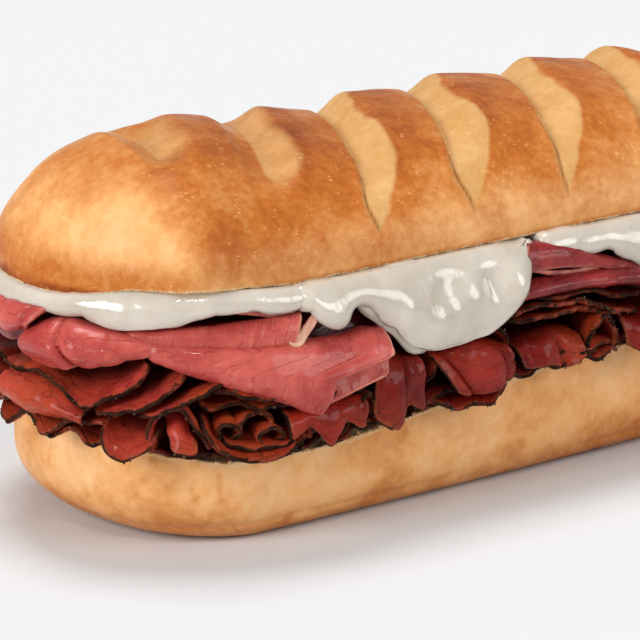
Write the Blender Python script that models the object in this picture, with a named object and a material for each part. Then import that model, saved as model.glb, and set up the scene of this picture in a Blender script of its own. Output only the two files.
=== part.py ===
"""A submarine sandwich: a scored roll cut through, folded slices of cured beef and melted cheese.

Sizes are millimetres until a point is placed, and place() turns them into metres.
The roll lies along X, its front faces -Y, and its base stands on Z = 0.
A place in the filling is given beside the roll: s along its outline from the middle
of the front (negative to the left end), out from the outline, and up from the base.
"""

import math

import bmesh
import bpy
from mathutils import Vector
from mathutils.bvhtree import BVHTree

MM = 0.001

# The roll
ROLL_LENGTH = 206.0
ROLL_WIDTH = 80.0
ROLL_TOP = 85.2
TOP_OVERHANG = 1.5
CUT_UP = 59.0
CUT_DROOP = 1.0
CUT_ARCH = 2.2
LOWER_TOP = 26.5
LOWER_WIDTH = 79.0
LOWER_SHORT = 4.0
BASE_ROUND = 15.0
BASE_INSET = 9.5
BASE_END_INSET = 19.0

# The scores across the top: each lies this far from its neighbour and slants
SCORE_PLACES = (-71.0, -44.5, -19.8, 6.1, 34.8, 61.8, 88.4)
SCORE_SLANT = 0.47
LOBE_RISE = 4.6
LOBE_FALL = 0.66
CREASE_SHARE = 0.07

# The filling
SLICE_THICK = 1.8
GAP = 0.35
CORE_INSET = 9.0
CORE_SPLIT = 42.0
CHEESE_UP = 57.1
CHEESE_THICK = 2.4

END_RADIUS = ROLL_WIDTH / 2
STRAIGHT = ROLL_LENGTH / 2 - END_RADIUS
END_ARC = math.pi * END_RADIUS
HALF_ROUND = 2 * STRAIGHT + END_ARC


def place(x, y, z):
    return Vector((x, y, z)) * MM


def beside(s, out, up):
    """The point s along the roll's outline, out from it and up from the base."""
    side = -1 if s < 0 else 1
    gone = abs(s)
    reach = END_RADIUS + out
    if gone <= STRAIGHT:
        return place(side * gone, -reach, up)
    if gone <= STRAIGHT + END_ARC:
        turn = (gone - STRAIGHT) / END_RADIUS
        return place(side * (STRAIGHT + reach * math.sin(turn)), -reach * math.cos(turn), up)
    return place(side * (2 * STRAIGHT + END_ARC - gone), reach, up)


def mix(a, b, share):
    return a + (b - a) * share


def smooth(share):
    share = min(1.0, max(0.0, share))
    return share * share * (3 - 2 * share)


def bump(x, centre, half_width):
    """A rounded bump, 1 at its centre and 0 from half_width on."""
    return smooth(1 - abs(x - centre) / half_width)


def along_curve(points, share):
    """The point at share, 0 to 1, of a smooth curve through points."""
    count = len(points) - 1
    where = min(max(share, 0.0), 1.0) * count
    i = min(int(where), count - 1)
    t = where - i
    before = points[max(i - 1, 0)]
    after = points[min(i + 2, count)]
    found = []
    for p0, p1, p2, p3 in zip(before, points[i], points[i + 1], after):
        slope1, slope2 = (p2 - p0) / 2, (p3 - p1) / 2
        found.append(
            (2 * t**3 - 3 * t**2 + 1) * p1
            + (t**3 - 2 * t**2 + t) * slope1
            + (3 * t**2 - 2 * t**3) * p2
            + (t**3 - t**2) * slope2
        )
    return found


def clear_scene():
    for obj in list(bpy.data.objects):
        bpy.data.objects.remove(obj, do_unlink=True)


def material(name, colour, roughness):
    made = bpy.data.materials.new(name)
    made.use_nodes = True
    shader = made.node_tree.nodes["Principled BSDF"]
    shader.inputs["Base Color"].default_value = (*colour, 1.0)
    shader.inputs["Roughness"].default_value = roughness
    shader.inputs["Metallic"].default_value = 0.0
    return made


def object_from(bm, name, finish):
    """Closes a bmesh into an object at the origin."""
    bmesh.ops.recalc_face_normals(bm, faces=bm.faces[:])
    mesh = bpy.data.meshes.new(name)
    bm.to_mesh(mesh)
    bm.free()
    mesh.materials.append(finish)
    made = bpy.data.objects.new(name, mesh)
    bpy.context.scene.collection.objects.link(made)
    return made


def unit_grid(columns, rows):
    bm = bmesh.new()
    bmesh.ops.create_grid(bm, x_segments=columns, y_segments=rows, size=0.5)
    return bm


def apply_modifiers(obj):
    graph = bpy.context.evaluated_depsgraph_get()
    done = bpy.data.meshes.new_from_object(obj.evaluated_get(graph))
    old = obj.data
    obj.modifiers.clear()
    obj.data = done
    bpy.data.meshes.remove(old)


def thin_solid(name, surface, columns, rows, thickness, finish):
    """A sheet over the unit square, mapped by surface(u, v) and given a thickness."""
    bm = unit_grid(columns, rows)
    for vert in bm.verts:
        vert.co = surface(vert.co.x + 0.5, vert.co.y + 0.5)
    bmesh.ops.remove_doubles(bm, verts=bm.verts[:], dist=0.05 * MM)
    made = object_from(bm, name, finish)
    wall = made.modifiers.new("Thickness", "SOLIDIFY")
    wall.thickness = thickness * MM
    wall.offset = 0.0
    wall.use_even_offset = False
    wall.thickness_clamp = 0.0
    apply_modifiers(made)
    return made


def ring_stack(name, point, around, levels, finish):
    """A solid of closed rings, one at each level, with its first and last ring filled."""
    bm = unit_grid(around, len(levels) - 1)
    for vert in bm.verts:
        turn = round((vert.co.x + 0.5) * around) % around / around
        level = levels[round((vert.co.y + 0.5) * (len(levels) - 1))]
        vert.co = point(turn, level)
    bmesh.ops.remove_doubles(bm, verts=bm.verts[:], dist=0.01 * MM)
    bmesh.ops.holes_fill(bm, edges=[edge for edge in bm.edges if edge.is_boundary], sides=0)
    return object_from(bm, name, finish)


# The top half of the roll

def cut_up(x):
    """The height of the upper half's cut face: a little arched, and drooping at both ends."""
    droop = CUT_DROOP * smooth((abs(x) - 94) / 11)
    return CUT_UP + CUT_ARCH * bump(x, -88, 30) - droop


def lobe_height(along, down):
    """How far the crust stands proud at this place: scored lobes, each steep on its left."""
    half = ROLL_LENGTH / 2
    spread = smooth((1 - down) / 0.55)
    if along < SCORE_PLACES[0]:
        t = (along + half) / (SCORE_PLACES[0] + half)
        return LOBE_RISE * 1.3 * smooth(t / 0.5) * smooth((1.0 - t) / 0.12) * spread
    if along >= SCORE_PLACES[-1]:
        t = (along - SCORE_PLACES[-1]) / (half - SCORE_PLACES[-1])
        return LOBE_RISE * smooth(t / 0.4) * (1 - t) * spread
    for start, end in zip(SCORE_PLACES, SCORE_PLACES[1:]):
        if along < end:
            t = (along - start) / (end - start)
            rise = smooth(t / 0.3) * (1 - LOBE_FALL * max(0.0, t - 0.22) / 0.78)
            return LOBE_RISE * rise * smooth((1.0 - t) / CREASE_SHARE) * spread
    return 0.0


def score_columns():
    """Places along the roll of the mesh's columns, with most of them about the scores."""
    half = ROLL_LENGTH / 2
    first = SCORE_PLACES[0]
    columns = [-half + (first - 3 + half) * (1 - math.cos(a)) for a in (0.0, 0.25, 0.5, 0.8, 1.1, 1.4)]
    for start, end in zip(SCORE_PLACES, SCORE_PLACES[1:]):
        columns += [start - 1.9, start, start + 3.6]
        columns += [start + (end - start) * share for share in (0.32, 0.68)]
    last = SCORE_PLACES[-1]
    columns += [last - 1.9, last, last + 3.6]
    columns += [half - (half - last - 3.6) * (1 - math.cos(a)) for a in (1.2, 0.9, 0.6, 0.3, 0.0)]
    return columns


def end_taper(along, half, end):
    """The share of the full section that is left at this place along the roll."""
    past = (abs(along) - (half - end)) / end
    return (1 - min(1.0, max(0.0, past)) ** 2.2) ** (1 / 2.2)


def crust_point(along, down_angle):
    """A point of the domed crust: down_angle runs from the front cut over the top to the back."""
    half = ROLL_LENGTH / 2
    taper = end_taper(along, half, END_RADIUS + 4)
    across = -math.cos(down_angle)
    up = math.sin(down_angle)
    across = math.copysign(abs(across) ** 0.92, across)
    up = up**0.92
    y = END_RADIUS * across * taper
    slant = SCORE_SLANT * smooth((half - abs(along)) / 34)
    dome = (ROLL_TOP - LOBE_RISE - CUT_UP) * taper**0.85
    dome += 1.8 * bump(along, -62, 30) - 1.2 * bump(along, -22, 26)
    x = along * (1 + TOP_OVERHANG / half * smooth(abs(along) / half)) + slant * y
    proud = lobe_height(along, abs(across)) * taper
    return place(x, y * (1 + proud / 90), cut_up(x) + dome * up + proud * up)


def bread_top(finish):
    """The crust over the top and the flat cut face under it, joined at their edges."""
    columns = score_columns()
    count = len(columns) - 1
    rows = 10
    bm = unit_grid(count, rows)
    for vert in bm.verts:
        column = round((vert.co.x + 0.5) * count)
        vert.co = crust_point(columns[column], math.pi * (vert.co.y + 0.5))
    crust_verts = set(bm.verts)
    bmesh.ops.create_grid(bm, x_segments=count, y_segments=5, size=0.5)
    for vert in bm.verts:
        if vert not in crust_verts:
            column = round((vert.co.x + 0.5) * count)
            front = crust_point(columns[column], 0.0)
            back = crust_point(columns[column], math.pi)
            vert.co = front.lerp(back, vert.co.y + 0.5)
            vert.co.z = cut_up(vert.co.x / MM) * MM
    bmesh.ops.remove_doubles(bm, verts=bm.verts[:], dist=0.02 * MM)
    return object_from(bm, "bread_top", finish)


# The lower half of the roll

def rim_up(x, y):
    """The height of the lower half's rim, pressed down where most meat hangs over the front."""
    pressed = 6.5 * bump(x, -62, 75) * smooth(-y / END_RADIUS)
    return LOWER_TOP + 1.5 * smooth((x + 10) / 60) - pressed


def lower_point(up, turn):
    """A point on the lower half's side at this height, turned about the roll's middle."""
    shrink = 1 - math.sqrt(max(0.0, 1 - max(0.0, 1 - up / BASE_ROUND) ** 2))
    c, s = math.cos(turn), math.sin(turn)
    power = 2 / 2.25
    half = ROLL_LENGTH / 2 - LOWER_SHORT
    straight = half - END_RADIUS
    reach_y = LOWER_WIDTH / 2 - BASE_INSET * shrink
    reach_x = END_RADIUS - BASE_END_INSET * shrink
    x = math.copysign(abs(c) ** power * reach_x + straight * smooth(abs(c) / 0.3) ** 0.5, c)
    return x, math.copysign(abs(s) ** power, s) * reach_y


def bread_bottom(finish):
    """A boat of dough: up from the base to the rim, then in over the soft cut face."""
    around = 46
    shares = (0.0, 0.04, 0.13, 0.3, 0.58, 0.86, 1.0)
    inward = (0.93, 0.66)

    def point(turn, level):
        angle = 2 * math.pi * (turn + 0.5 / around)
        x, y = lower_point(LOWER_TOP, angle)
        height = rim_up(x, y)
        step = round(level * (len(shares) + len(inward) - 1))
        if step < len(shares):
            up = height * shares[step]
            x, y = lower_point(up, angle)
            return place(x, y, up)
        share = inward[step - len(shares)]
        up = mix(height, LOWER_TOP, smooth((1 - share) / 0.3)) - (0.8 if share > 0.9 else 0.0)
        return place(x * mix(1, share, 0.42), y * share, up)

    last = len(shares) + len(inward) - 1
    levels = [step / last for step in range(last + 1)]
    return ring_stack("bread_bottom", point, around, levels, finish)


# The filling

def held(s, out, up, thickness):
    """Keeps a point of the filling between the two halves of the roll."""
    spot = beside(s, out, up) / MM
    lowest = rim_up(spot.x, spot.y) if out > -5 else LOWER_TOP
    lowest += GAP + thickness / 2 + 0.5
    if out > 1.8:
        lowest -= 12 * smooth((out - 1.8) / 1.8)
    highest = cut_up(spot.x) - GAP - thickness / 2 - 0.2
    return place(spot.x, spot.y, min(max(up, lowest), highest))


def sheet(curves, ripple=(0.0, 0.0, 0.0), lean=0.0, sway=0.0):
    """A surface lofted through curves of (s, out, up), first at its root and last at its rim.

    The ripple is (height, count, phase): waves along the sheet that grow to the rim.
    """
    height, count, phase = ripple

    def surface(u, v):
        lines = [along_curve(curve, u) for curve in curves]
        s, out, up = along_curve(lines, v)
        wave = 2 * math.pi * (count * u + phase)
        grown = max(0.0, v) ** 1.4
        up += height * math.sin(wave) * grown
        out += lean * math.cos(wave) * grown
        s += sway * math.cos(wave) * grown
        return s, out, up

    return surface


def cone(tip, mouth, radii, squash, slant=(0.0, 0.0), sweep=5.7, spiral=0.12):
    """A slice rolled into a cone from tip to mouth, both (s, out, up), its seam facing inward."""

    def surface(u, v):
        angle = math.pi + 0.3 + u * sweep
        share = max(0.0, v) ** 1.2
        radius = mix(radii[0], radii[1], share) * (1 + spiral * u)
        s, out, up = (mix(a, b, v) for a, b in zip(tip, mouth))
        s += (slant[0] * math.cos(angle) + slant[1] * math.sin(angle)) * share
        return s, out + radius * squash * math.cos(angle), up + radius * math.sin(angle)

    return surface


def fold(profile, outs, shrink=0.7, lift=0.0):
    """A slice folded to a profile of (s, up), seen end-on, running from outs[0] to outs[1]."""
    mid_s = sum(point[0] for point in profile) / len(profile)
    mid_up = sum(point[1] for point in profile) / len(profile)

    def surface(u, v):
        s, up = along_curve(profile, u)
        share = mix(shrink, 1.0, v)
        s = mid_s + (s - mid_s) * share
        up = mid_up + lift * (1 - v) + (up - mid_up) * share
        return s, mix(outs[0], outs[1], v), up

    return surface


def room_around(obj):
    """A copy of the object with its surface a gap further out, to cut its room from others."""
    mesh = obj.data.copy()
    made = bpy.data.objects.new(obj.name + "_room", mesh)
    bpy.context.scene.collection.objects.link(made)
    bm = bmesh.new()
    bm.from_mesh(mesh)
    bm.normal_update()
    moves = [vert.normal * min(1.8, vert.calc_shell_factor()) for vert in bm.verts]
    for vert, move in zip(bm.verts, moves):
        vert.co += move * GAP * MM
    bm.to_mesh(mesh)
    bm.free()
    return made


def slice_solid(name, surface, columns, rows, finish, thickness=SLICE_THICK):
    """The slice, held between the two halves of the roll."""

    def held_surface(u, v):
        s, out, up = surface(u, v)
        return held(s, out, up, thickness)

    return thin_solid(name, held_surface, columns, rows, thickness, finish)


def boxes_meet(a, b):
    """Whether the boxes around two objects overlap."""
    for axis in range(3):
        a_ends = [corner[axis] for corner in a.bound_box]
        b_ends = [corner[axis] for corner in b.bound_box]
        if max(a_ends) < min(b_ends) or max(b_ends) < min(a_ends):
            return False
    return True


def surfaces_cross(a, b):
    """Whether the surfaces of two objects cross."""
    trees = []
    for obj in (a, b):
        bm = bmesh.new()
        bm.from_mesh(obj.data)
        trees.append(BVHTree.FromBMesh(bm))
        bm.free()
    return bool(trees[0].overlap(trees[1]))


def cut(target, cutter):
    tool = target.modifiers.new("Room", "BOOLEAN")
    tool.operation = "DIFFERENCE"
    tool.solver = "MANIFOLD"
    tool.object = cutter
    apply_modifiers(target)


def is_closed(obj):
    """Whether each edge of the object joins exactly two faces."""
    bm = bmesh.new()
    bm.from_mesh(obj.data)
    closed = all(edge.is_manifold for edge in bm.edges)
    bm.free()
    return closed


def corner_count(obj):
    return sum(len(face.vertices) - 2 for face in obj.data.polygons)


def thin_out(obj, wanted, near):
    """Merges the small faces that the cuts leave, as far as the piece stays closed and clear."""
    share = wanted / corner_count(obj)
    while share < 0.98:
        whole = obj.data.copy()
        tool = obj.modifiers.new("Fewer", "DECIMATE")
        tool.ratio = share
        apply_modifiers(obj)
        if is_closed(obj) and not any(surfaces_cross(obj, other) for other in near):
            return
        obj.data = whole
        share += 0.05


def keep_largest(obj):
    """Drops the scraps that a cut leaves and keeps the largest piece."""
    bm = bmesh.new()
    bm.from_mesh(obj.data)
    left = set(bm.verts)
    islands = []
    while left:
        found = {left.pop()}
        edge_of = list(found)
        while edge_of:
            vert = edge_of.pop()
            for edge in vert.link_edges:
                other = edge.other_vert(vert)
                if other in left:
                    left.remove(other)
                    found.add(other)
                    edge_of.append(other)
        islands.append(found)
    islands.sort(key=len)
    scraps = [vert for island in islands[:-1] for vert in island]
    bmesh.ops.delete(bm, geom=scraps, context="VERTS")
    bm.to_mesh(obj.data)
    bm.free()
    return len(islands)


def core(name, low, high, finish):
    """The stack of folded slices inside, seen only through the gaps between the outer ones."""

    def point(turn, level):
        s = HALF_ROUND * (2 * turn - 1)
        out = -CORE_INSET + 0.8 * math.sin(22 * math.pi * turn + 4 * level)
        if level in (0.0, 1.0):
            out -= 1.2
        return beside(s, out, mix(low, high, level))

    return ring_stack(name, point, 30, (0.0, 0.2, 0.8, 1.0), finish)


def lip_sheet(edge, out, across, back_drop=0.0):
    """Melted cheese: flat over the meat, then over the roll's edge down to edge, [(s, up)].

    It reaches across to out = across: the roll's middle, or its back when back_drop is set.
    """
    middle_s = (edge[0][0] + edge[-1][0]) / 2
    ends = (edge[0][0], middle_s, edge[-1][0])
    curves = [
        [(s, across, CHEESE_UP) for s in ends],
        [(s, -2.0, CHEESE_UP) for s in ends],
        [(s, out - 0.8, mix(low, CHEESE_UP, 0.5)) for s, low in edge],
        [(s, out, low) for s, low in edge],
    ]
    if back_drop:
        curves.insert(0, [(s, across - 5, CHEESE_UP - back_drop) for s in ends])
    return sheet(curves)


clear_scene()
crust = material("crust", (0.72, 0.40, 0.16), 0.5)
pastrami_red = material("pastrami", (0.30, 0.05, 0.035), 0.4)
corned_pink = material("corned_beef", (0.62, 0.13, 0.12), 0.38)
cheese_white = material("melted_cheese", (0.80, 0.76, 0.68), 0.25)

bread_bottom(crust)
bread_top(crust)
core("pastrami_stack", LOWER_TOP + 0.6, CORE_SPLIT - GAP / 2, pastrami_red)
core("corned_beef_stack", CORE_SPLIT + GAP / 2, 54.2, corned_pink)

# The cheese slices: each lip's lower edge along the roll, then how far it stands out
left_edge = [
    (-27, 38.5), (-36, 42.5), (-43, 49.5), (-52, 50.4), (-62, 53.5), (-74, 55.5), (-86, 53.6),
    (-97, 51.7), (-108, 53.6), (-119, 54), (-132, 52.5), (-144, 51.5), (-156, 54), (-168, 52.5),
    (-180, 50.5), (-192, 52), (-203, 54), (-214, 52), (HALF_ROUND * -1 + 27, 50),
]
middle_edge = [
    (-52, 54), (-44, 53), (-36, 48), (-27, 38.6), (-18, 38), (-9, 39.2), (-2, 44.5), (2, 49.5), (5.5, 53.5),
]
right_edge = [(9, 54), (15, 54), (23, 53), (29, 51.8), (36, 46), (44, 45), (53, 49), (61, 54)]
end_edge = [
    (65, 54), (74, 50), (84, 48), (95, 52), (106, 53.5), (118, 52), (130, 50.5), (142, 52.5), (153, 54),
    (164, 51), (175, 49), (HALF_ROUND - 65, 53),
]
# Each piece: its surface, then its columns and rows
cheese = {
    "middle": (lip_sheet(middle_edge, 7.0, -80.0, 4.0), 14, 8),
    "left": (lip_sheet(left_edge, 4.2, -40.0), 26, 4),
    "right": (lip_sheet(right_edge, 5.0, -80.0, 3.0), 10, 7),
    "end": (lip_sheet(end_edge, 4.2, -40.0), 16, 4),
}
corned = {
    "lower_cone": (cone((-93.5, 3, 47.6), (-49, 4.2, 38.6), (1.4, 7.0), 0.8, (-6.5, 6.0)), 14, 7),
    "upper_cone": (cone((-98.5, 1, 50.4), (-60, 1.5, 49.9), (1.3, 3.0), 1.1, (-2.0, 1.0)), 11, 5),
    "rose": (sheet([
        [(-117, -4, 50.5), (-109, -4, 51.5), (-101, -4, 51)],
        [(-119, 1, 50.8), (-110, 4.5, 52.6), (-100, 4.5, 50)],
        [(-121, 7, 46.8), (-111, 9.5, 48), (-97, 8.5, 47.5)],
        [(-119, 4, 42.0), (-109, 6, 42.6), (-95, 6, 45.8)],
    ]), 8, 7),
    "left_fold": (sheet([
        [(-142, -5, 53), (-130, -5, 54), (-122, -4, 53)],
        [(-143, 4, 54), (-131, 6, 54.5), (-122.5, 4.5, 52)],
        [(-144, 6, 47), (-132, 7.5, 47.5), (-124, 5, 45)],
        [(-142, 1, 43), (-132, 2, 42.5), (-124.5, 1, 43.5)],
    ]), 7, 5),
    "under_cheese": (sheet([
        [(-98, -7, 53), (-78, -7, 54.5), (-57, -7, 53)],
        [(-98, 5, 53), (-80, 3.5, 55.5), (-57, 2, 53.2)],
    ], (0.8, 2.0, 0.2)), 12, 3),
    "right_face": (sheet([
        [(2, -7, 57), (16, -7, 57), (40, -7, 56)],
        [(2, 3, 57.5), (16, 4, 57.8), (40, 4, 54)],
        [(-2, 5, 52.5), (14, 6.5, 51.5), (40, 6, 47.5)],
    ]), 9, 5),
    "right_fold": (sheet([
        [(-5, -7, 51), (8, -7, 51), (24, -7, 50)],
        [(-4, 4, 52.5), (8, 5.5, 51), (24, 5.5, 49.5)],
    ], (0.6, 1.2, 0.0)), 8, 3),
    "right_roll": (sheet([
        [(-5, -7, 48), (15, -7, 48), (50, -7, 45)],
        [(-4, 3, 48.6), (15, 4, 49.2), (50, 4, 45.6)],
        [(-4, 6, 46.6), (16, 7.5, 47.4), (50, 7, 43.4)],
        [(-5, 1, 44.8), (16, 2, 45), (50, 2, 41.8)],
    ]), 10, 7),
    "right_drape": (sheet([
        [(50, -7, 54), (68, -7, 55), (88, -7, 54)],
        [(50, 0.5, 51), (68, 0.5, 50), (90, 0.5, 49)],
        [(52, 6, 45.5), (68, 7.5, 45), (90, 6, 44)],
    ], (0.8, 1.5, 0.0)), 9, 4),
    "right_cone": (cone((62, 3, 43.5), (100, 4, 43.5), (1.5, 4.6), 0.9, (-4.0, 3.0)), 9, 4),
    "right_end_fold": (sheet([
        [(100, -6, 53), (118, -6, 54), (138, -6, 53)],
        [(102, 0.5, 52), (120, 0.5, 51), (140, 0.5, 51)],
        [(102, 6.5, 46), (120, 7.5, 46), (140, 6.5, 44.5)],
    ], (0.8, 2.2, 0.3)), 11, 4),
    "back_fold_1": (sheet([
        [(148, -7, 52), (172, -7, 52), (198, -7, 52)],
        [(148, 0, 50.5), (172, 0.5, 50), (198, 0, 49)],
        [(148, 6, 46), (172, 7, 45), (198, 6, 45)],
    ], (1.0, 2.5, 0.1)), 11, 4),
    "back_fold_2": (sheet([
        [(204, -7, 49), (232, -7, 50), (262, -7, 49)],
        [(204, 6, 47), (232, 7, 46), (262, 6, 46.5)],
    ], (1.4, 2.5, 0.4)), 12, 3),
    "back_fold_3": (sheet([
        [(-236, -7, 51), (-196, -7, 52), (-152, -7, 51)],
        [(-236, 0, 49), (-196, 0.5, 48), (-152, 0, 48)],
        [(-236, 6, 45), (-196, 7, 44.5), (-152, 6, 45)],
    ], (1.0, 3.5, 0.1)), 15, 4),
}
pastrami = {
    "fan_1": (sheet([
        [(-127, -7, 44), (-112, -7, 42), (-98, -7, 45)],
        [(-128, 7, 39.5), (-115, 7.5, 40.9), (-106, 8.5, 35.4), (-98, 7.5, 39), (-93, 5.5, 44.5)],
    ]), 13, 4),
    "left_face": (sheet([
        [(-128, -6, 36.5), (-117, -6, 37), (-106, -6, 34.5)],
        [(-128, 3, 38), (-116, 4, 38.5), (-106, 4, 34)],
        [(-128, 7, 35), (-117, 8.5, 35), (-106, 8, 32.6)],
        [(-126, 5, 31.5), (-116, 6, 31), (-106, 5.5, 30.8)],
    ]), 9, 6),
    "fan_2": (sheet([
        [(-108, -7, 36.5), (-98, -7, 39), (-86, -7, 43)],
        [(-104, 7.5, 33.6), (-98, 8.5, 34.9), (-93, 8, 36.7), (-87, 6, 42.6)],
    ]), 9, 3),
    "fan_3": (sheet([
        [(-100, -7, 33), (-90, -7, 36), (-80, -7, 40)],
        [(-95, 7.5, 33.0), (-90, 8.5, 35.2), (-84, 8, 39), (-79, 6.5, 41.0)],
    ]), 9, 3),
    "left_tip": (sheet([
        [(-152, -7, 37), (-141, -7, 37), (-130, -7, 37)],
        [(-152, 5, 36), (-141, 6.5, 38), (-130, 5.5, 35)],
    ], (1.2, 1.2, 0.3)), 8, 3),
    "left_low": (sheet([
        [(-134, -7, 31), (-118, -7, 31), (-102, -7, 32)],
        [(-132, 5, 30), (-127, 7, 26), (-121, 6, 31), (-115, 7.8, 27.4), (-110, 6, 30.6), (-102, 6, 30.2)],
    ]), 14, 4),
    "ruffle": (sheet([
        [(-101, -6, 34), (-96, -6, 34), (-91, -6, 33)],
        [(-101, 6, 31), (-100.5, 8, 27), (-98, 8.5, 24.4), (-95, 8, 27), (-93, 6.5, 30)],
    ]), 12, 4),
    "arch": (fold(
        [(-92, 26), (-92.3, 31), (-90.5, 35), (-87.5, 36), (-85.3, 33.5), (-84.6, 29)], (-7, 8), 0.8, 1),
        9, 2),
    "bowl": (sheet([
        [(-84, -6, 35), (-79, -6, 31), (-72, -6, 30), (-63, -6, 31)],
        [(-84, 6.5, 33), (-82, 8.5, 28), (-79, 9, 24.6), (-73, 9, 23), (-67, 8.5, 24), (-62, 7, 27)],
    ]), 13, 4),
    "roll": (fold(
        [(-76, 28), (-77, 31.5), (-73, 33.3), (-69.5, 31.5), (-70.5, 28.5), (-73, 28.8)], (-7, 6.0), 0.85, 1),
        11, 3),
    "peppered": (sheet([
        [(-84, -7, 41), (-70, -7, 41), (-54, -7, 39)],
        [(-82, 6, 38.5), (-72, 7, 37), (-62, 6, 35.5), (-52, 6, 33.5)],
    ], (0.5, 2.0, 0.1)), 10, 3),
    "scallop_1": (sheet([
        [(-66, -7, 33), (-56, -7, 33.5), (-46, -7, 33)],
        [(-67, 5, 31.4), (-57, 6, 31.2), (-46, 5, 31.3)],
        [(-67, 7, 25), (-61, 6.2, 28), (-57, 8.2, 23.2), (-52, 6.4, 27.5), (-47, 7.5, 23.8)],
    ]), 11, 4),
    "scallop_2": (sheet([
        [(-43, -6, 40), (-36, -6, 40), (-30, -6, 39)],
        [(-43, 5, 37), (-36, 6.5, 37), (-30, 5, 37)],
        [(-45, 6.5, 27), (-39, 8.3, 22.8), (-35, 6.6, 28), (-30, 7, 24.5)],
    ]), 11, 6),
    "middle": (sheet([
        [(-27, -6, 38.5), (-15, -6, 39), (-6, -6, 37)],
        [(-27.5, 4, 38), (-16, 6, 38), (-6, 5.5, 36)],
        [(-24, 7.5, 32), (-13, 8, 32), (-3.5, 6.5, 32.2)],
        [(-20, 7, 27.3), (-10, 7.2, 26.6), (-3, 5, 29)],
    ]), 9, 7),
    "middle_low": (sheet([
        [(-30, -7, 31), (-16, -7, 30), (-5, -7, 30)],
        [(-29, 6, 26.5), (-20, 7, 24.4), (-11, 7, 23.8), (-4, 5.5, 25.6)],
    ], (0.6, 2.5, 0.0)), 10, 3),
    "middle_curl": (fold([(-12, 41), (-8.5, 40.4), (-5, 38), (-5.2, 34.8)], (-6, 5), 0.9, 0), 6, 3),
    "right_high": (sheet([
        [(-7, -7, 42), (15, -7, 41), (36, -7, 38.5)],
        [(-7, 4.5, 42.5), (8, 5.5, 43.4), (20, 6, 41.4), (27, 5.5, 38.5), (36, 5.5, 36)],
    ]), 12, 3),
    "right_face": (sheet([
        [(-1, -7, 35), (9, -7, 36), (18, -7, 35)],
        [(-1, 4, 34), (9, 5, 36), (18, 4.5, 34)],
        [(0, 6, 29), (9, 7, 28), (18, 6.5, 28)],
    ]), 8, 4),
    "right_curl": (fold(
        [(19.8, 28), (19.3, 33), (21, 37), (24.5, 37.2), (27, 33.5), (26.5, 28)], (-7, 7), 0.85, 1),
        9, 3),
    "right_red": (sheet([
        [(29, -7, 37), (40, -7, 36), (52, -7, 36)],
        [(29, 5, 35), (40, 6, 34.5), (52, 6, 34)],
        [(29.5, 6.5, 28.8), (40, 7.5, 27), (52, 7, 28.5)],
    ], (0.8, 1.5, 0.2)), 9, 4),
    "right_ruffle": (sheet([
        [(55, -7, 33), (70, -7, 33), (86, -7, 33)],
        [(55, 6, 28.5), (70, 7, 29), (86, 6, 28.5)],
    ], (3.0, 3.0, 0.1), 1.0, 0.6), 17, 3),
    "right_fan": (sheet([
        [(58, -7, 40), (76, -7, 39.5), (94, -7, 38.5)],
        [(58, 5, 38.5), (76, 7, 36), (94, 6, 36)],
    ], (0.8, 2.0, 0.0)), 10, 3),
    "end_ruffle": (sheet([
        [(92, -7, 32), (108, -7, 33), (126, -7, 32)],
        [(92, 5, 29), (108, 6.5, 29), (126, 6, 29)],
    ], (2.6, 3.0, 0.4), 1.0, 0.6), 16, 3),
    "end_fan": (sheet([
        [(100, -7, 39), (118, -7, 39.5), (140, -7, 38.5)],
        [(100, 6, 37), (118, 7, 36), (140, 6, 37)],
    ], (1.0, 2.4, 0.2)), 12, 3),
    "back_ruffle_1": (sheet([
        [(132, -7, 33), (162, -7, 34), (196, -7, 33)],
        [(132, 6, 30), (162, 6.5, 31), (196, 6, 30)],
    ], (2.2, 3.4, 0.4), 1.0, 0.6), 15, 3),
    "back_ruffle_2": (sheet([
        [(202, -7, 35), (232, -7, 36), (262, -7, 35)],
        [(202, 6, 31), (232, 7, 33), (262, 6, 31)],
    ], (2.4, 3.4, 0.0), 1.0, 0.6), 15, 3),
    "back_ruffle_3": (sheet([
        [(-236, -7, 34), (-196, -7, 34), (-158, -7, 35)],
        [(-236, 6, 30), (-196, 6.5, 31), (-158, 6, 30)],
    ], (2.4, 3.8, 0.2), 1.0, 0.6), 17, 3),
}
done = []
for kind, group, finish, wall in (
    ("cheese", cheese, cheese_white, CHEESE_THICK),
    ("corned_beef", corned, corned_pink, SLICE_THICK),
    ("pastrami", pastrami, pastrami_red, SLICE_THICK),
):
    for label, (surface, columns, rows) in group.items():
        made = slice_solid(kind + "_" + label, surface, columns, rows, finish, wall)
        room = room_around(made)
        near = [(other, other_room) for other, other_room in done if boxes_meet(made, other_room)]
        wanted = corner_count(made)
        for _, other_room in near:
            cut(made, other_room)
        keep_largest(made)
        thin_out(made, wanted, [other for other, _ in near])
        done.append((made, room))
for _, room in done:
    bpy.data.objects.remove(room, do_unlink=True)
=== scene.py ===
"""A submarine sandwich as food: baked and scored roll, folded cured beef, and melted cheese.

Sizes are millimetres until a point is placed, and place() turns them into metres.
The roll lies along X and its front faces -Y. A place in the filling is given beside the
roll: s along its outline from the middle of the front, out from the outline, and up.
"""
import math
import random

import bmesh
import bpy
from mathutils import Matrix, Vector, noise


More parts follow.
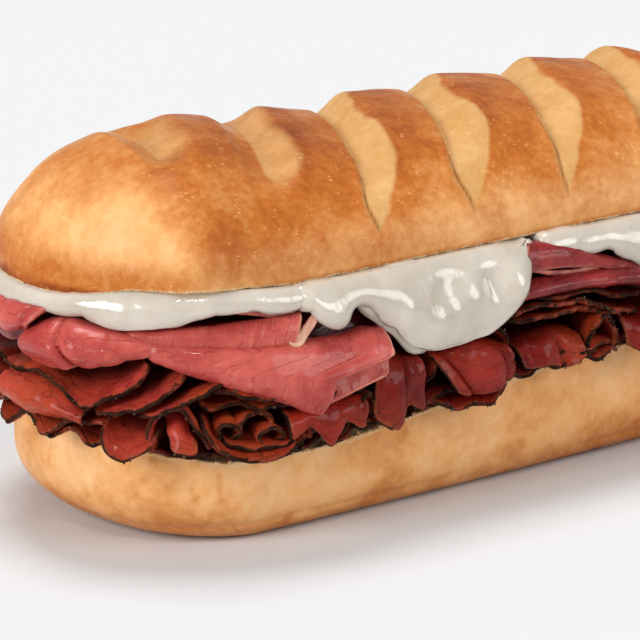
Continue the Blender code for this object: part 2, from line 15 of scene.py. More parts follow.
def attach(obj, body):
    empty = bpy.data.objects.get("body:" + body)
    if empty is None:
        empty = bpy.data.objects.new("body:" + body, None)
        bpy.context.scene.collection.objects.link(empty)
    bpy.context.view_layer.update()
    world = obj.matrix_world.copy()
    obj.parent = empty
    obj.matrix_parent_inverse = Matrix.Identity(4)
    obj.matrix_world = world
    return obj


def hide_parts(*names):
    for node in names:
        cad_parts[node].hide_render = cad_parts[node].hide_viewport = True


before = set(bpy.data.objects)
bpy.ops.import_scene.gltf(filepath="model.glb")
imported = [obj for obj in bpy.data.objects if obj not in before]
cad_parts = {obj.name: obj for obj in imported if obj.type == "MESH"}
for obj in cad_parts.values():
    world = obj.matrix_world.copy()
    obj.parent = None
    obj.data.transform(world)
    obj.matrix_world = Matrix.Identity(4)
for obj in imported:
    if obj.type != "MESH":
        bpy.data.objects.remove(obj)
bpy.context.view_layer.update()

MM = 0.001
scene = bpy.context.scene

# The roll, as the solids have it but for a softer slant at its ends and a lower left dome
ROLL_LENGTH = 206.0
ROLL_WIDTH = 80.0
ROLL_TOP = 85.2
TOP_OVERHANG = 1.5
CUT_UP = 59.0
CUT_DROOP = 1.0
CUT_ARCH = 2.2
LOWER_TOP = 26.5
LOWER_WIDTH = 79.0
LOWER_SHORT = 4.0
BASE_ROUND = 15.0
BASE_INSET = 9.5
BASE_END_INSET = 19.0
SCORE_PLACES = (-71.0, -44.5, -19.8, 6.1, 34.8, 61.8, 88.4)
SCORE_SLANT = 0.47
SLANT_FADE = 46.0
LOBE_RISE = 4.6
LOBE_FALL = 0.66
LEFT_DOME_LOWER = 2.4
CRUST_SQUARENESS = 0.92
END_SQUARENESS = 2.2
BASE_SQUARENESS = 2.25
# For each score: how far down the front it stays open, and how softly the lobe before it ends
SCORE_REACH = (0.46, 0.76, 0.95, 0.95, 0.95, 0.95, 0.95)
SCORE_SOFT = (0.45, 0.28, 0.06, 0.045, 0.045, 0.045, 0.045)

# What the materials read at each point of the crust and of a slice
CRUST_MARKS = ("bake", "opened", "crumb", "crease")
SLICE_MARKS = ("rim", "smoke", "inner_shade")

# The filling
GAP = 0.35
CHEESE_GAP = 0.12
RIM_OVERHANG = 1.8
CORE_INSET = 9.0
CORE_SPLIT = 42.0
CORE_TOP = 54.2
CHEESE_THICK = 2.5
CONE_SWEEP = 5.7
CONE_SPIRAL = 0.12
CRUMBS = 150

# The camera, in degrees and millimetres, with its focal length in pixels of the picture
CAMERA_TURN = -37.31
CAMERA_RISE = 16.56
CAMERA_REACH = 943.6
CAMERA_TARGET = (-23.6, 0.0, 34.7)
FOCAL_PIXELS = 4090
PICTURE_SIDE = 640
SENSOR = 36.0

# Each light: where it comes from, as its turn and its tip from upright, its power and its spread
LIGHTS = (
    ("key", -85.0, 64.0, 2.2, 30.0),
    ("front", 35.0, 66.0, 1.0, 30.0),
    ("top", 165.0, 14.0, 1.6, 26.0),
    ("glint", -28.0, 40.0, 0.3, 5.0),
)

END_RADIUS = ROLL_WIDTH / 2
HALF = ROLL_LENGTH / 2
STRAIGHT = HALF - END_RADIUS
END_ARC = math.pi * END_RADIUS
HALF_ROUND = 2 * STRAIGHT + END_ARC


def place(x, y, z):
    """The point at these millimetres, in metres."""
    return Vector((x, y, z)) * MM


def beside(s, out, up):
    """The point s along the roll's outline, out from it and up from the base."""
    side = -1 if s < 0 else 1
    gone = abs(s)
    reach = END_RADIUS + out
    if gone <= STRAIGHT:
        return place(side * gone, -reach, up)
    if gone <= STRAIGHT + END_ARC:
        turn = (gone - STRAIGHT) / END_RADIUS
        return place(side * (STRAIGHT + reach * math.sin(turn)), -reach * math.cos(turn), up)
    return place(side * (2 * STRAIGHT + END_ARC - gone), reach, up)


def stands_out(point):
    """How many millimetres a point stands out from the roll's outline."""
    return math.hypot(max(0.0, abs(point.x) / MM - STRAIGHT), point.y / MM) - END_RADIUS


def mix(a, b, share):
    return a + (b - a) * share


def smooth(share):
    """Eases a share in and out, and holds it between 0 and 1."""
    share = min(1.0, max(0.0, share))
    return share * share * (3 - 2 * share)


def bump(x, centre, half_width):
    """A rounded bump, 1 at its centre and 0 from half_width on."""
    return smooth(1 - abs(x - centre) / half_width)


def rough(point, size, seed=0.0):
    """Soft noise, about -1 to 1, with lumps of this size in millimetres."""
    return noise.noise(point / (size * MM) + Vector((seed, seed * 1.7, seed * 0.6)))


def along_curve(points, share):
    """The point at share, 0 to 1, of a smooth curve through points."""
    count = len(points) - 1
    where = min(max(share, 0.0), 1.0) * count
    i = min(int(where), count - 1)
    t = where - i
    before = points[max(i - 1, 0)]
    after = points[min(i + 2, count)]
    found = []
    for p0, p1, p2, p3 in zip(before, points[i], points[i + 1], after):
        slope1, slope2 = (p2 - p0) / 2, (p3 - p1) / 2
        found.append(
            (2 * t**3 - 3 * t**2 + 1) * p1
            + (t**3 - 2 * t**2 + t) * slope1
            + (3 * t**2 - 2 * t**3) * p2
            + (t**3 - t**2) * slope2
        )
    return found


# Shader building

class Board:
    """Builds one node tree: each call adds a node, wires what it is given, returns its output."""

    def __init__(self, tree):
        self.tree = tree

    def node(self, kind, **settings):
        made = self.tree.nodes.new(kind)
        for key, value in settings.items():
            setattr(made, key, value)
        return made

    def feed(self, socket, value):
        if isinstance(value, bpy.types.NodeSocket):
            self.tree.links.new(value, socket)
        elif isinstance(value, tuple) and socket.type == "RGBA":
            socket.default_value = (*value, 1.0)
        else:
            socket.default_value = value

    def where(self):
        return self.node("ShaderNodeTexCoord").outputs["Object"]

    def uv(self):
        return self.node("ShaderNodeUVMap", uv_map="UVMap").outputs["UV"]

    def mark(self, name):
        return self.node("ShaderNodeAttribute", attribute_name=name).outputs["Fac"]

    def stretch(self, vector, scale, turn=(0.0, 0.0, 0.0)):
        made = self.node("ShaderNodeMapping")
        self.feed(made.inputs["Vector"], vector)
        made.inputs["Scale"].default_value = scale
        made.inputs["Rotation"].default_value = turn
        return made.outputs["Vector"]

    def noise(self, vector, scale, detail=3.0, harsh=0.55, warp=0.0):
        made = self.node("ShaderNodeTexNoise")
        self.feed(made.inputs["Vector"], vector)
        settings = {"Scale": scale, "Detail": detail, "Roughness": harsh, "Distortion": warp}
        for name, value in settings.items():
            self.feed(made.inputs[name], value)
        return made.outputs["Fac"]

    def cells(self, vector, scale, feature="F1"):
        made = self.node("ShaderNodeTexVoronoi", feature=feature)
        self.feed(made.inputs["Vector"], vector)
        self.feed(made.inputs["Scale"], scale)
        return made.outputs["Distance"]

    def span(self, value, low, high, to_low=0.0, to_high=1.0):
        made = self.node("ShaderNodeMapRange", interpolation_type="SMOOTHSTEP")
        self.feed(made.inputs["Value"], value)
        limits = {"From Min": low, "From Max": high, "To Min": to_low, "To Max": to_high}
        for name, number in limits.items():
            self.feed(made.inputs[name], number)
        return made.outputs["Result"]

    def math(self, operation, a, b=0.0, clamp=False):
        made = self.node("ShaderNodeMath", operation=operation, use_clamp=clamp)
        self.feed(made.inputs[0], a)
        self.feed(made.inputs[1], b)
        return made.outputs[0]

    def blend(self, share, a, b):
        made = self.node("ShaderNodeMix", data_type="RGBA")
        self.feed(made.inputs["Factor"], share)
        self.feed(made.inputs[6], a)
        self.feed(made.inputs[7], b)
        return made.outputs[2]

    def bump(self, height, strength, distance):
        made = self.node("ShaderNodeBump")
        self.feed(made.inputs["Height"], height)
        made.inputs["Strength"].default_value = strength
        made.inputs["Distance"].default_value = distance * MM
        return made.outputs["Normal"]

    def group(self, tree, **values):
        made = self.node("ShaderNodeGroup", node_tree=tree)
        for key, value in values.items():
            self.feed(made.inputs[key], value)
        return made.outputs


def shared_group(name, inputs, outputs):
    """An empty shader group with named sockets, and its board, its inputs and its output node."""
    tree = bpy.data.node_groups.new(name, "ShaderNodeTree")
    for label, kind, value in inputs:
        made = tree.interface.new_socket(name=label, in_out="INPUT", socket_type="NodeSocket" + kind)
        if value is not None:
            made.default_value = value
    for label, kind in outputs:
        tree.interface.new_socket(name=label, in_out="OUTPUT", socket_type="NodeSocket" + kind)
    board = Board(tree)
    start = board.node("NodeGroupInput")
    end = board.node("NodeGroupOutput")
    return tree, board, start.outputs, end.inputs


def finish(name):
    """A new material, its board, and its Principled shader."""
    made = bpy.data.materials.new(name)
    made.use_nodes = True
    return made, Board(made.node_tree), made.node_tree.nodes["Principled BSDF"].inputs


def mottle_group():
    """Soft uneven patches at three sizes, as a mask from 0 to 1."""
    tree, board, given, out = shared_group(
        "uneven_patches",
        [("Place", "Vector", None), ("Scale", "Float", 60.0), ("Contrast", "Float", 0.3)],
        [("Patches", "Float")],
    )
    broad = board.noise(given["Place"], given["Scale"], 4.0, 0.6, 0.3)
    low = board.math("SUBTRACT", 0.5, given["Contrast"])
    high = board.math("ADD", 0.5, given["Contrast"])
    board.feed(out["Patches"], board.span(broad, low, high))
    return tree


def fibre_group():
    """Meat grain: fine streaks along the slice, and thin cracks between its bundles."""
    tree, board, given, out = shared_group(
        "meat_grain",
        [("Along", "Vector", None), ("Streaks", "Float", 9.0), ("Bundles", "Float", 3.2)],
        [("Streak", "Float"), ("Crack", "Float"), ("Relief", "Float")],
    )
    drawn = board.stretch(given["Along"], (0.22, 1.0, 1.0), (0.0, 0.0, 0.5))
    streak = board.noise(drawn, given["Streaks"], 5.0, 0.62, 0.6)
    bent = board.node("ShaderNodeVectorMath", operation="ADD")
    wander = board.node("ShaderNodeTexNoise")
    board.feed(wander.inputs["Vector"], given["Along"])
    wander.inputs["Scale"].default_value = 3.0
    board.feed(bent.inputs[0], drawn)
    small = board.node("ShaderNodeVectorMath", operation="SCALE")
    board.feed(small.inputs[0], wander.outputs["Color"])
    small.inputs["Scale"].default_value = 0.35
    board.feed(bent.inputs[1], small.outputs[0])
    split = board.cells(bent.outputs[0], given["Bundles"], "DISTANCE_TO_EDGE")
    crack = board.span(split, 0.0, 0.05, 1.0, 0.0)
    sunken = board.math("MULTIPLY", crack, 0.5)
    relief = board.math("SUBTRACT", board.math("MULTIPLY", streak, 0.6), sunken)
    board.feed(out["Streak"], streak)
    board.feed(out["Crack"], crack)
    board.feed(out["Relief"], relief)
    return tree


def speck_group():
    """Small scattered specks, stretched a little, as a mask."""
    tree, board, given, out = shared_group(
        "fine_specks",
        [("Place", "Vector", None), ("Scale", "Float", 500.0), ("Amount", "Float", 0.2)],
        [("Specks", "Float")],
    )
    drawn = board.stretch(given["Place"], (0.55, 1.0, 1.4), (0.2, 0.3, 0.5))
    near = board.cells(drawn, given["Scale"])
    frayed = board.noise(given["Place"], 1500.0, 2.0)
    near = board.math("ADD", near, board.math("MULTIPLY", board.math("SUBTRACT", frayed, 0.5), 0.35))
    some = board.noise(given["Place"], 300.0, 3.0)
    size = board.math("MULTIPLY", given["Amount"], board.span(some, 0.45, 0.66, 0.0, 1.6))
    board.feed(out["Specks"], board.span(board.math("SUBTRACT", size, near), 0.0, 0.06))
    return tree


patches = mottle_group()
grain = fibre_group()
specks = speck_group()


def crust_finish():
    """Golden crust, browned on the lobes, pale in the opened scores, with soft crumb at the cut;
    painted shade in the creases and in the crumb's pores, and a painted highlight along each lip.
    """
    made, board, shader = finish("baked_crust")
    where = board.where()
    bake, opened, crumb = board.mark("bake"), board.mark("opened"), board.mark("crumb")
    broad = board.group(patches, Place=where, Scale=38.0, Contrast=0.2)["Patches"]
    middling = board.group(patches, Place=where, Scale=120.0, Contrast=0.25)["Patches"]
    fine = board.group(patches, Place=where, Scale=520.0, Contrast=0.25)["Patches"]
    uneven = board.math("MULTIPLY", broad, 0.26)
    uneven = board.math("ADD", uneven, board.math("MULTIPLY", middling, 0.18))
    fine_share = board.span(bake, 0.1, 0.6, 0.1, 0.17)
    uneven = board.math("ADD", uneven, board.math("MULTIPLY", fine, fine_share))
    heat = board.math("ADD", bake, board.math("SUBTRACT", uneven, 0.28), clamp=True)
    toned = board.node("ShaderNodeValToRGB")
    board.feed(toned.inputs["Fac"], heat)
    stops = toned.color_ramp.elements
    stops[0].position, stops[0].color = 0.0, (0.88, 0.52, 0.245, 1)
    stops[1].position, stops[1].color = 1.0, (0.26, 0.05, 0.007, 1)
    for position, colour in (
        (0.22, (0.80, 0.395, 0.145, 1)),
        (0.42, (0.64, 0.265, 0.08, 1)),
        (0.62, (0.52, 0.158, 0.027, 1)),
        (0.8, (0.40, 0.10, 0.016, 1)),
    ):
        stops.new(position).color = colour
    tone = toned.outputs["Color"]
    pale = board.blend(middling, (0.72, 0.435, 0.18), (0.60, 0.32, 0.105))
    pale = board.blend(board.math("MULTIPLY", fine, 0.35), pale, (0.54, 0.26, 0.075))
    # The opened mark also carries the painted highlight along each lip.
    tone = board.blend(board.math("MULTIPLY", opened, 0.93), tone, pale)
    speck = board.group(specks, Place=where, Scale=900.0, Amount=0.22)["Specks"]
    dotted = board.math("MULTIPLY", speck, board.span(bake, 0.2, 0.6, 0.1, 0.3))
    tone = board.blend(dotted, tone, (0.92, 0.54, 0.21))
    # Painted shade: a dark line in the crease of each crisp score.
    tone = board.blend(board.math("MULTIPLY", board.mark("crease"), 0.75), tone, (0.20, 0.075, 0.018))
    pores = board.cells(where, 620.0)
    # Painted shade: the crumb is darker in its pores.
    crumb_tone = board.blend(board.span(pores, 0.1, 0.6), (0.60, 0.40, 0.20), (0.84, 0.64, 0.38))
    board.feed(shader["Base Color"], board.blend(crumb, tone, crumb_tone))
    dull = board.span(middling, 0.0, 1.0, 0.28, 0.42)
    dull = board.math("ADD", dull, board.math("MULTIPLY", opened, 0.14))
    dull = board.math("ADD", dull, board.math("MULTIPLY", crumb, 0.4), clamp=True)
    board.feed(shader["Roughness"], dull)
    shader["Specular IOR Level"].default_value = 0.1
    shader["Subsurface Weight"].default_value = 0.1
    shader["Subsurface Radius"].default_value = (1.0, 0.5, 0.25)
    shader["Subsurface Scale"].default_value = 0.0015
    skin = board.noise(where, 520.0, 5.0, 0.65)
    upright = board.noise(board.stretch(where, (1.0, 0.4, 0.4)), 240.0, 4.0, 0.6)
    drawn = board.noise(board.stretch(where, (0.3, 1.0, 1.0), (0.3, 0.0, 0.4)), 330.0, 4.0, 0.6, 0.4)
    upright = board.math("MULTIPLY", board.math("SUBTRACT", 1.0, opened), upright)
    pinch = board.math("ADD", upright, board.math("MULTIPLY", opened, drawn))
    holes = board.math("MULTIPLY", board.span(pores, 0.0, 0.5), crumb)
    height = board.math("ADD", board.math("ADD", skin, pinch), board.math("MULTIPLY", speck, 0.2))
    height = board.math("ADD", height, board.math("MULTIPLY", holes, 1.6))
    board.feed(shader["Normal"], board.bump(height, 0.6, 0.34))
    return made


def corned_finish(name, light, deep, fat):
    """Cured beef: rosy faces with streaks and cracks, and a paler fatty rim, all of it moist, with
    painted shade deep inside the sandwich.
    """
    made, board, shader = finish(name)
    where, uv = board.where(), board.uv()
    rim, shade = board.mark("rim"), board.mark("inner_shade")
    marks = board.group(grain, Along=uv, Streaks=6.0, Bundles=1.7)
    broad = board.group(patches, Place=where, Scale=75.0, Contrast=0.18)["Patches"]
    fine = board.group(patches, Place=where, Scale=380.0, Contrast=0.25)["Patches"]
    tone = board.blend(broad, light, deep)
    tone = board.blend(board.span(marks["Streak"], 0.55, 0.75, 0.0, 0.4), tone, fat)
    tone = board.blend(board.math("MULTIPLY", fine, 0.3), tone, deep)
    some = board.span(board.noise(uv, 2.2, 2.0), 0.40, 0.58, 0.0, 0.75)
    split = board.math("MULTIPLY", marks["Crack"], some)
    tone = board.blend(split, tone, deep)
    edge = board.span(rim, 0.0, 0.2, 1.0, 0.0)
    edge = board.math("MULTIPLY", edge, board.span(broad, 0.2, 0.8, 0.85, 0.3))
    tone = board.blend(edge, tone, fat)
    # Painted shade: meat deep inside the sandwich is darkened towards this tone.
    inner_shade_tone = tuple(part * 0.35 for part in deep)
    board.feed(shader["Base Color"], board.blend(board.math("MULTIPLY", shade, 0.8), tone, inner_shade_tone))
    board.feed(shader["Roughness"], board.span(fine, 0.0, 1.0, 0.2, 0.38))
    shader["Specular IOR Level"].default_value = 0.2
    shader["Coat Weight"].default_value = 0.2
    shader["Coat Roughness"].default_value = 0.06
    shader["Subsurface Weight"].default_value = 0.15
    shader["Subsurface Radius"].default_value = (1.0, 0.25, 0.18)
    shader["Subsurface Scale"].default_value = 0.002
    wet = board.noise(where, 560.0, 5.0, 0.65)
    height = board.math("ADD", marks["Relief"], board.math("MULTIPLY", wet, 0.9))
    board.feed(shader["Normal"], board.bump(height, 0.7, 0.35))
    return made


def pastrami_finish(name, lean, deep, shaded):
    """Smoked beef: deep red faces, orange where the lean is thin, a black peppered rim, and painted
    shade deep inside the sandwich.
    """
    made, board, shader = finish(name)
    where, uv = board.where(), board.uv()
    rim = board.mark("rim")
    marks = board.group(grain, Along=uv, Streaks=8.0, Bundles=2.0)
    broad = board.group(patches, Place=where, Scale=70.0, Contrast=0.2)["Patches"]
    fine = board.group(patches, Place=where, Scale=420.0, Contrast=0.25)["Patches"]
    tone = board.blend(broad, lean, deep)
    smoked = board.math("MULTIPLY", board.mark("smoke"), board.span(fine, 0.1, 0.9, 0.85, 0.45))
    tone = board.blend(smoked, tone, (0.42, 0.062, 0.017))
    tone = board.blend(board.span(marks["Streak"], 0.58, 0.78, 0.0, 0.3), tone, (0.40, 0.075, 0.035))
    tone = board.blend(board.math("MULTIPLY", marks["Crack"], 0.3), tone, (0.07, 0.007, 0.005))
    worn = board.math("MULTIPLY", board.math("SUBTRACT", fine, 0.5), 0.1)
    flaked = board.group(patches, Place=where, Scale=170.0, Contrast=0.16)["Patches"]
    worn = board.math("ADD", worn, board.math("MULTIPLY", board.math("SUBTRACT", flaked, 0.6), 0.09))
    worn = board.math("ADD", worn, board.math("MULTIPLY", board.math("SUBTRACT", broad, 0.5), 0.07))
    black = board.span(board.math("ADD", rim, worn), 0.01, 0.085, 1.0, 0.0)
    smoked = board.span(rim, 0.04, 0.34, 0.8, 0.0)
    smoked = board.math("MULTIPLY", smoked, board.span(flaked, 0.0, 1.0, 1.0, 0.35))
    tone = board.blend(smoked, tone, (0.27, 0.06, 0.024))
    # Painted shade: darkened towards near black deep inside the sandwich, by the share given as shaded.
    tone = board.blend(board.math("MULTIPLY", board.mark("inner_shade"), shaded), tone, (0.022, 0.0014, 0.001))
    tone = board.blend(black, tone, board.blend(flaked, (0.010, 0.0035, 0.002), (0.065, 0.019, 0.008)))
    speck = board.group(specks, Place=where, Scale=800.0, Amount=0.24)["Specks"]
    fleck = board.math("MULTIPLY", speck, board.span(rim, 0.05, 0.7, 0.85, 0.2))
    tone = board.blend(fleck, tone, (0.014, 0.006, 0.004))
    board.feed(shader["Base Color"], tone)
    dull = board.math("MULTIPLY", black, 0.3)
    board.feed(shader["Roughness"], board.math("ADD", board.span(fine, 0.0, 1.0, 0.24, 0.42), dull))
    board.feed(shader["Coat Weight"], board.math("MULTIPLY", board.math("SUBTRACT", 1.0, black), 0.15))
    shader["Specular IOR Level"].default_value = 0.08
    shader["Coat Roughness"].default_value = 0.08
    shader["Subsurface Weight"].default_value = 0.08
    shader["Subsurface Radius"].default_value = (1.0, 0.2, 0.12)
    shader["Subsurface Scale"].default_value = 0.0015
    grit = board.noise(where, 650.0, 4.0, 0.65)
    grit = board.math("MULTIPLY", grit, board.span(black, 0.0, 1.0, 0.6, 2.6))
    board.feed(shader["Normal"], board.bump(board.math("ADD", marks["Relief"], grit), 0.7, 0.35))
    return made


def cheese_finish():
    """Melted white cheese: creamy and glossy, with a few faint warm spots."""
    made, board, shader = finish("melted_white_cheese")
    where = board.where()
    broad = board.group(patches, Place=where, Scale=60.0, Contrast=0.18)["Patches"]
    spots = board.span(board.noise(where, 130.0, 2.0, 0.5, 0.4), 0.64, 0.8, 0.0, 0.42)
    tone = board.blend(broad, (0.64, 0.575, 0.49), (0.54, 0.475, 0.39))
    tone = board.blend(spots, tone, (0.56, 0.40, 0.29))
    board.feed(shader["Base Color"], tone)
    board.feed(shader["Roughness"], board.span(broad, 0.0, 1.0, 0.12, 0.24))
    shader["Coat Weight"].default_value = 0.6
    shader["Coat Roughness"].default_value = 0.05
    shader["Subsurface Weight"].default_value = 0.3
    shader["Subsurface Radius"].default_value = (1.0, 0.85, 0.6)
    shader["Subsurface Scale"].default_value = 0.003
    soft = board.noise(where, 130.0, 3.0, 0.5, 0.5)
    board.feed(shader["Normal"], board.bump(soft, 0.6, 1.1))
    return made


def pepper_finish():
    """Cracked black pepper and browned spice."""
    made, board, shader = finish("cracked_pepper")
    where = board.where()
    fine = board.group(patches, Place=where, Scale=260.0, Contrast=0.2)["Patches"]
    board.feed(shader["Base Color"], board.blend(fine, (0.012, 0.007, 0.005), (0.10, 0.035, 0.014)))
    board.feed(shader["Roughness"], board.span(fine, 0.0, 1.0, 0.35, 0.6))
    board.feed(shader["Normal"], board.bump(board.noise(where, 1500.0, 3.0), 0.5, 0.2))
    return made


def floor_finish():
    """A matt, nearly even pale grey."""
    made, board, shader = finish("pale_floor")
    where = board.where()
    tone = board.blend(board.noise(where, 3.0), (0.71, 0.71, 0.715), (0.72, 0.72, 0.725))
    board.feed(shader["Base Color"], tone)
    shader["Roughness"].default_value = 0.9
    shader["Specular IOR Level"].default_value = 0.1
    return made


crust = crust_finish()
rosy_beef = corned_finish(
    "corned_beef_rosy", (0.64, 0.122, 0.095), (0.38, 0.040, 0.034), (0.82, 0.36, 0.25))
dark_beef = corned_finish(
    "corned_beef_deep", (0.34, 0.028, 0.026), (0.12, 0.006, 0.008), (0.60, 0.20, 0.15))
fatty = corned_finish(
    "corned_beef_fat", (0.76, 0.40, 0.27), (0.70, 0.27, 0.19), (0.84, 0.54, 0.38))
peppered = pastrami_finish(
    "peppered_beef", (0.32, 0.018, 0.011), (0.12, 0.005, 0.004), 0.78)
# Painted light: a brighter, more orange copy of the peppered finish, for the pieces round the lit left
# end.
peppered_lit = pastrami_finish(
    "peppered_beef_lit", (0.52, 0.058, 0.040), (0.26, 0.015, 0.011), 0.66)
cheese_skin = cheese_finish()
pepper = pepper_finish()


# Making and placing pieces

def new_marks(bm, names):
    """A value at each point under each of these names."""
    return {name: bm.verts.layers.float.new(name) for name in names}


def seal(bm, merge):
    """Merges points this close, closes what is open, and turns the faces outwards."""
    bmesh.ops.remove_doubles(bm, verts=bm.verts[:], dist=merge * MM)
    bmesh.ops.holes_fill(bm, edges=[edge for edge in bm.edges if edge.is_boundary], sides=0)
    bmesh.ops.recalc_face_normals(bm, faces=bm.faces[:])


def object_from(bm, name, skin):
    """Turns a finished bmesh into an object at the origin, in one material."""
    mesh = bpy.data.meshes.new(name)
    bm.to_mesh(mesh)
    bm.free()
    mesh.materials.append(skin)
    mesh.shade_smooth()
    made = bpy.data.objects.new(name, mesh)
    scene.collection.objects.link(made)
    return made


def serve(piece, slot, *nodes):
    """Sets a finished piece on the sandwich, in the place of its solids."""
    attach(piece, "root")
    if nodes:
        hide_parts(*nodes)


def apply_modifiers(obj):
    """Puts the modified mesh in place of the plain one."""
    graph = bpy.context.evaluated_depsgraph_get()
    done = bpy.data.meshes.new_from_object(obj.evaluated_get(graph))
    old = obj.data
    obj.modifiers.clear()
    obj.data = done
    bpy.data.meshes.remove(old)


# The roll

def cut_up(x):
    """The height of the upper half's cut face."""
    droop = CUT_DROOP * smooth((abs(x) - 94) / 11) * (2.2 if x < 0 else 1.0)
    return CUT_UP + CUT_ARCH * bump(x, -88, 30) - droop


def hooked(along, down):
    """Bends the scores a little towards their lower ends."""
    sway = 1.5 * math.sin(9 * down + 0.31 * along) * smooth((down - 0.35) / 0.5)
    return along - 2.2 * smooth((down - 0.8) / 0.2) + sway * 0.5


def lobe_at(along):
    """The lobe that this place along the roll is on: its start, its end, and the share gone."""
    ends = (-HALF, *SCORE_PLACES, HALF)
    for start, end in zip(ends, ends[1:]):
        if along < end or end == HALF:
            return start, end, (along - start) / (end - start)


def nearest_score(along):
    """The score next to this place along the roll, and its number."""
    number = min(range(len(SCORE_PLACES)), key=lambda i: abs(SCORE_PLACES[i] - along))
    return SCORE_PLACES[number], number


def lobe_height(along, down):
    """How far the crust stands proud: scored lobes, each with a crisp lip over the next score."""
    along = hooked(along, down)
    start, end, t = lobe_at(along)
    score, number = nearest_score(along)
    soft = SCORE_SOFT[number]
    spread = smooth((1 - down) / 0.55)
    if start == -HALF:
        proud = LOBE_RISE * 1.3 * smooth(t / 0.5) * smooth((1.0 - t) / (0.6 * soft)) * spread
    elif end == HALF:
        proud = LOBE_RISE * smooth(t / 0.4) * (1 - t) * spread
    else:
        rise = smooth(t / 0.38) * (1 - LOBE_FALL * (max(0.0, t - 0.26) / 0.74) ** 1.25)
        proud = LOBE_RISE * rise * smooth((1.0 - t) / soft) * spread
    calm = smooth((down - SCORE_REACH[number] + 0.3) / 0.4) * bump(along, score, 22)
    proud = mix(proud, 0.85 * LOBE_RISE * spread, calm)
    crisp = smooth((SCORE_REACH[number] + 0.035 - down) / 0.06) * (1 - 2.4 * min(0.4, soft - 0.04))
    groove = math.exp(-(((along - score) / 0.55) ** 2)) * crisp
    lip = math.exp(-(((along - score + 2.0) / 1.5) ** 2)) * bump(down, 0.72, 0.3) * crisp
    return proud - 0.5 * groove + 0.5 * lip


def score_marks(along, down, height, wander):
    """How far the score lies open here, with a painted highlight along each lip, how brown the crust
    is, and how deep in a crease, where the crust is coloured as painted shade.

    The height is the share of the upper half's height.
    """
    along = hooked(along, down)
    start, end, t = lobe_at(along)
    score, number = nearest_score(along)
    reach = 0.0
    soft = 0.07
    if start != -HALF:
        before = SCORE_PLACES.index(start)
        opening = SCORE_REACH[before]
        soft = 0.05 + 0.5 * max(0.0, SCORE_SOFT[before] - 0.05)
        if down < opening:
            reach = 0.39 * (0.66 + 0.34 * smooth(down / 0.6)) * (1 - (down / opening) ** 6)
    line = reach + 0.035 * wander
    opened = smooth((line - t) / soft + 0.5) if reach > 0 else 0.0
    if start in SCORE_PLACES[:2]:
        opened *= 0.75 * smooth((opening - down) / 0.25)
    crisp = smooth((SCORE_REACH[number] + 0.025 - down) / 0.05)
    crisp *= smooth((0.16 - SCORE_SOFT[number]) / 0.08)
    # Painted highlight: a pale line along the lower end of each crisp lip.
    lip = math.exp(-(((along - score + 0.9) / 0.5) ** 2)) * bump(down, 0.8, 0.17) * crisp
    # Painted shade: the crease's dark line, strongest low on the front.
    crease = math.exp(-(((along - score) / 0.36) ** 2)) * crisp * smooth((down - 0.45) / 0.35)
    past = smooth((down - SCORE_REACH[number] + 0.2) / 0.3) * bump(along, score, 20)
    crest = mix(smooth(1 - (t - reach) / 1.0), 0.5, past)
    bake = 0.33 + 0.37 * smooth((height - 0.12) / 0.6) * (0.45 + 0.55 * crest) + 0.08 * wander
    bake += 0.05 * smooth((height - 0.75) / 0.25)
    bake += 0.28 * bump(along, -54, 32) * bump(height, 0.34, 0.5)
    at_end = smooth((-along - 68) / 18)
    bake -= at_end * (0.08 + 0.32 * bump(height, 0.6, 0.46) - 0.33 * smooth((0.40 - height) / 0.3))
    bake += 0.3 * smooth((0.05 - height) / 0.05)
    # The lip's painted highlight reaches the crust through the opened mark.
    return max(opened, 0.7 * lip), bake, crease


def end_taper(along):
    """The share of the full section that is left at this place along the roll."""
    end = END_RADIUS + 4
    past = (abs(along) - (HALF - end)) / end
    return (1 - min(1.0, max(0.0, past)) ** END_SQUARENESS) ** (1 / END_SQUARENESS)


def crust_point(along, angle):
    """A point of the domed crust, from the front cut over the top to the back."""
    taper = end_taper(along)
    across = math.copysign(abs(math.cos(angle)) ** CRUST_SQUARENESS, -math.cos(angle))
    up = max(0.0, math.sin(angle)) ** CRUST_SQUARENESS
    y = END_RADIUS * across * taper
    slant = SCORE_SLANT * smooth((HALF - abs(along)) / SLANT_FADE)
    dome = (ROLL_TOP - LOBE_RISE - CUT_UP) * taper**0.85
    dome += 1.8 * bump(along, -62, 30) - 1.2 * bump(along, -22, 26)
    dome -= LEFT_DOME_LOWER * smooth((-along - 72) / 20) * taper
    x = along * (1 + TOP_OVERHANG / HALF * smooth(abs(along) / HALF)) + slant * y
    proud = lobe_height(along, abs(across)) * taper
    return place(x, y * (1 + proud / 90), cut_up(x) + dome * up + proud * up), abs(across)


def dough_waves(point, lift=1.0):
    """The gentle unevenness of risen dough."""
    return (0.32 * rough(point, 15, 3.1) + 0.13 * rough(point, 5.2, 8.7)) * lift


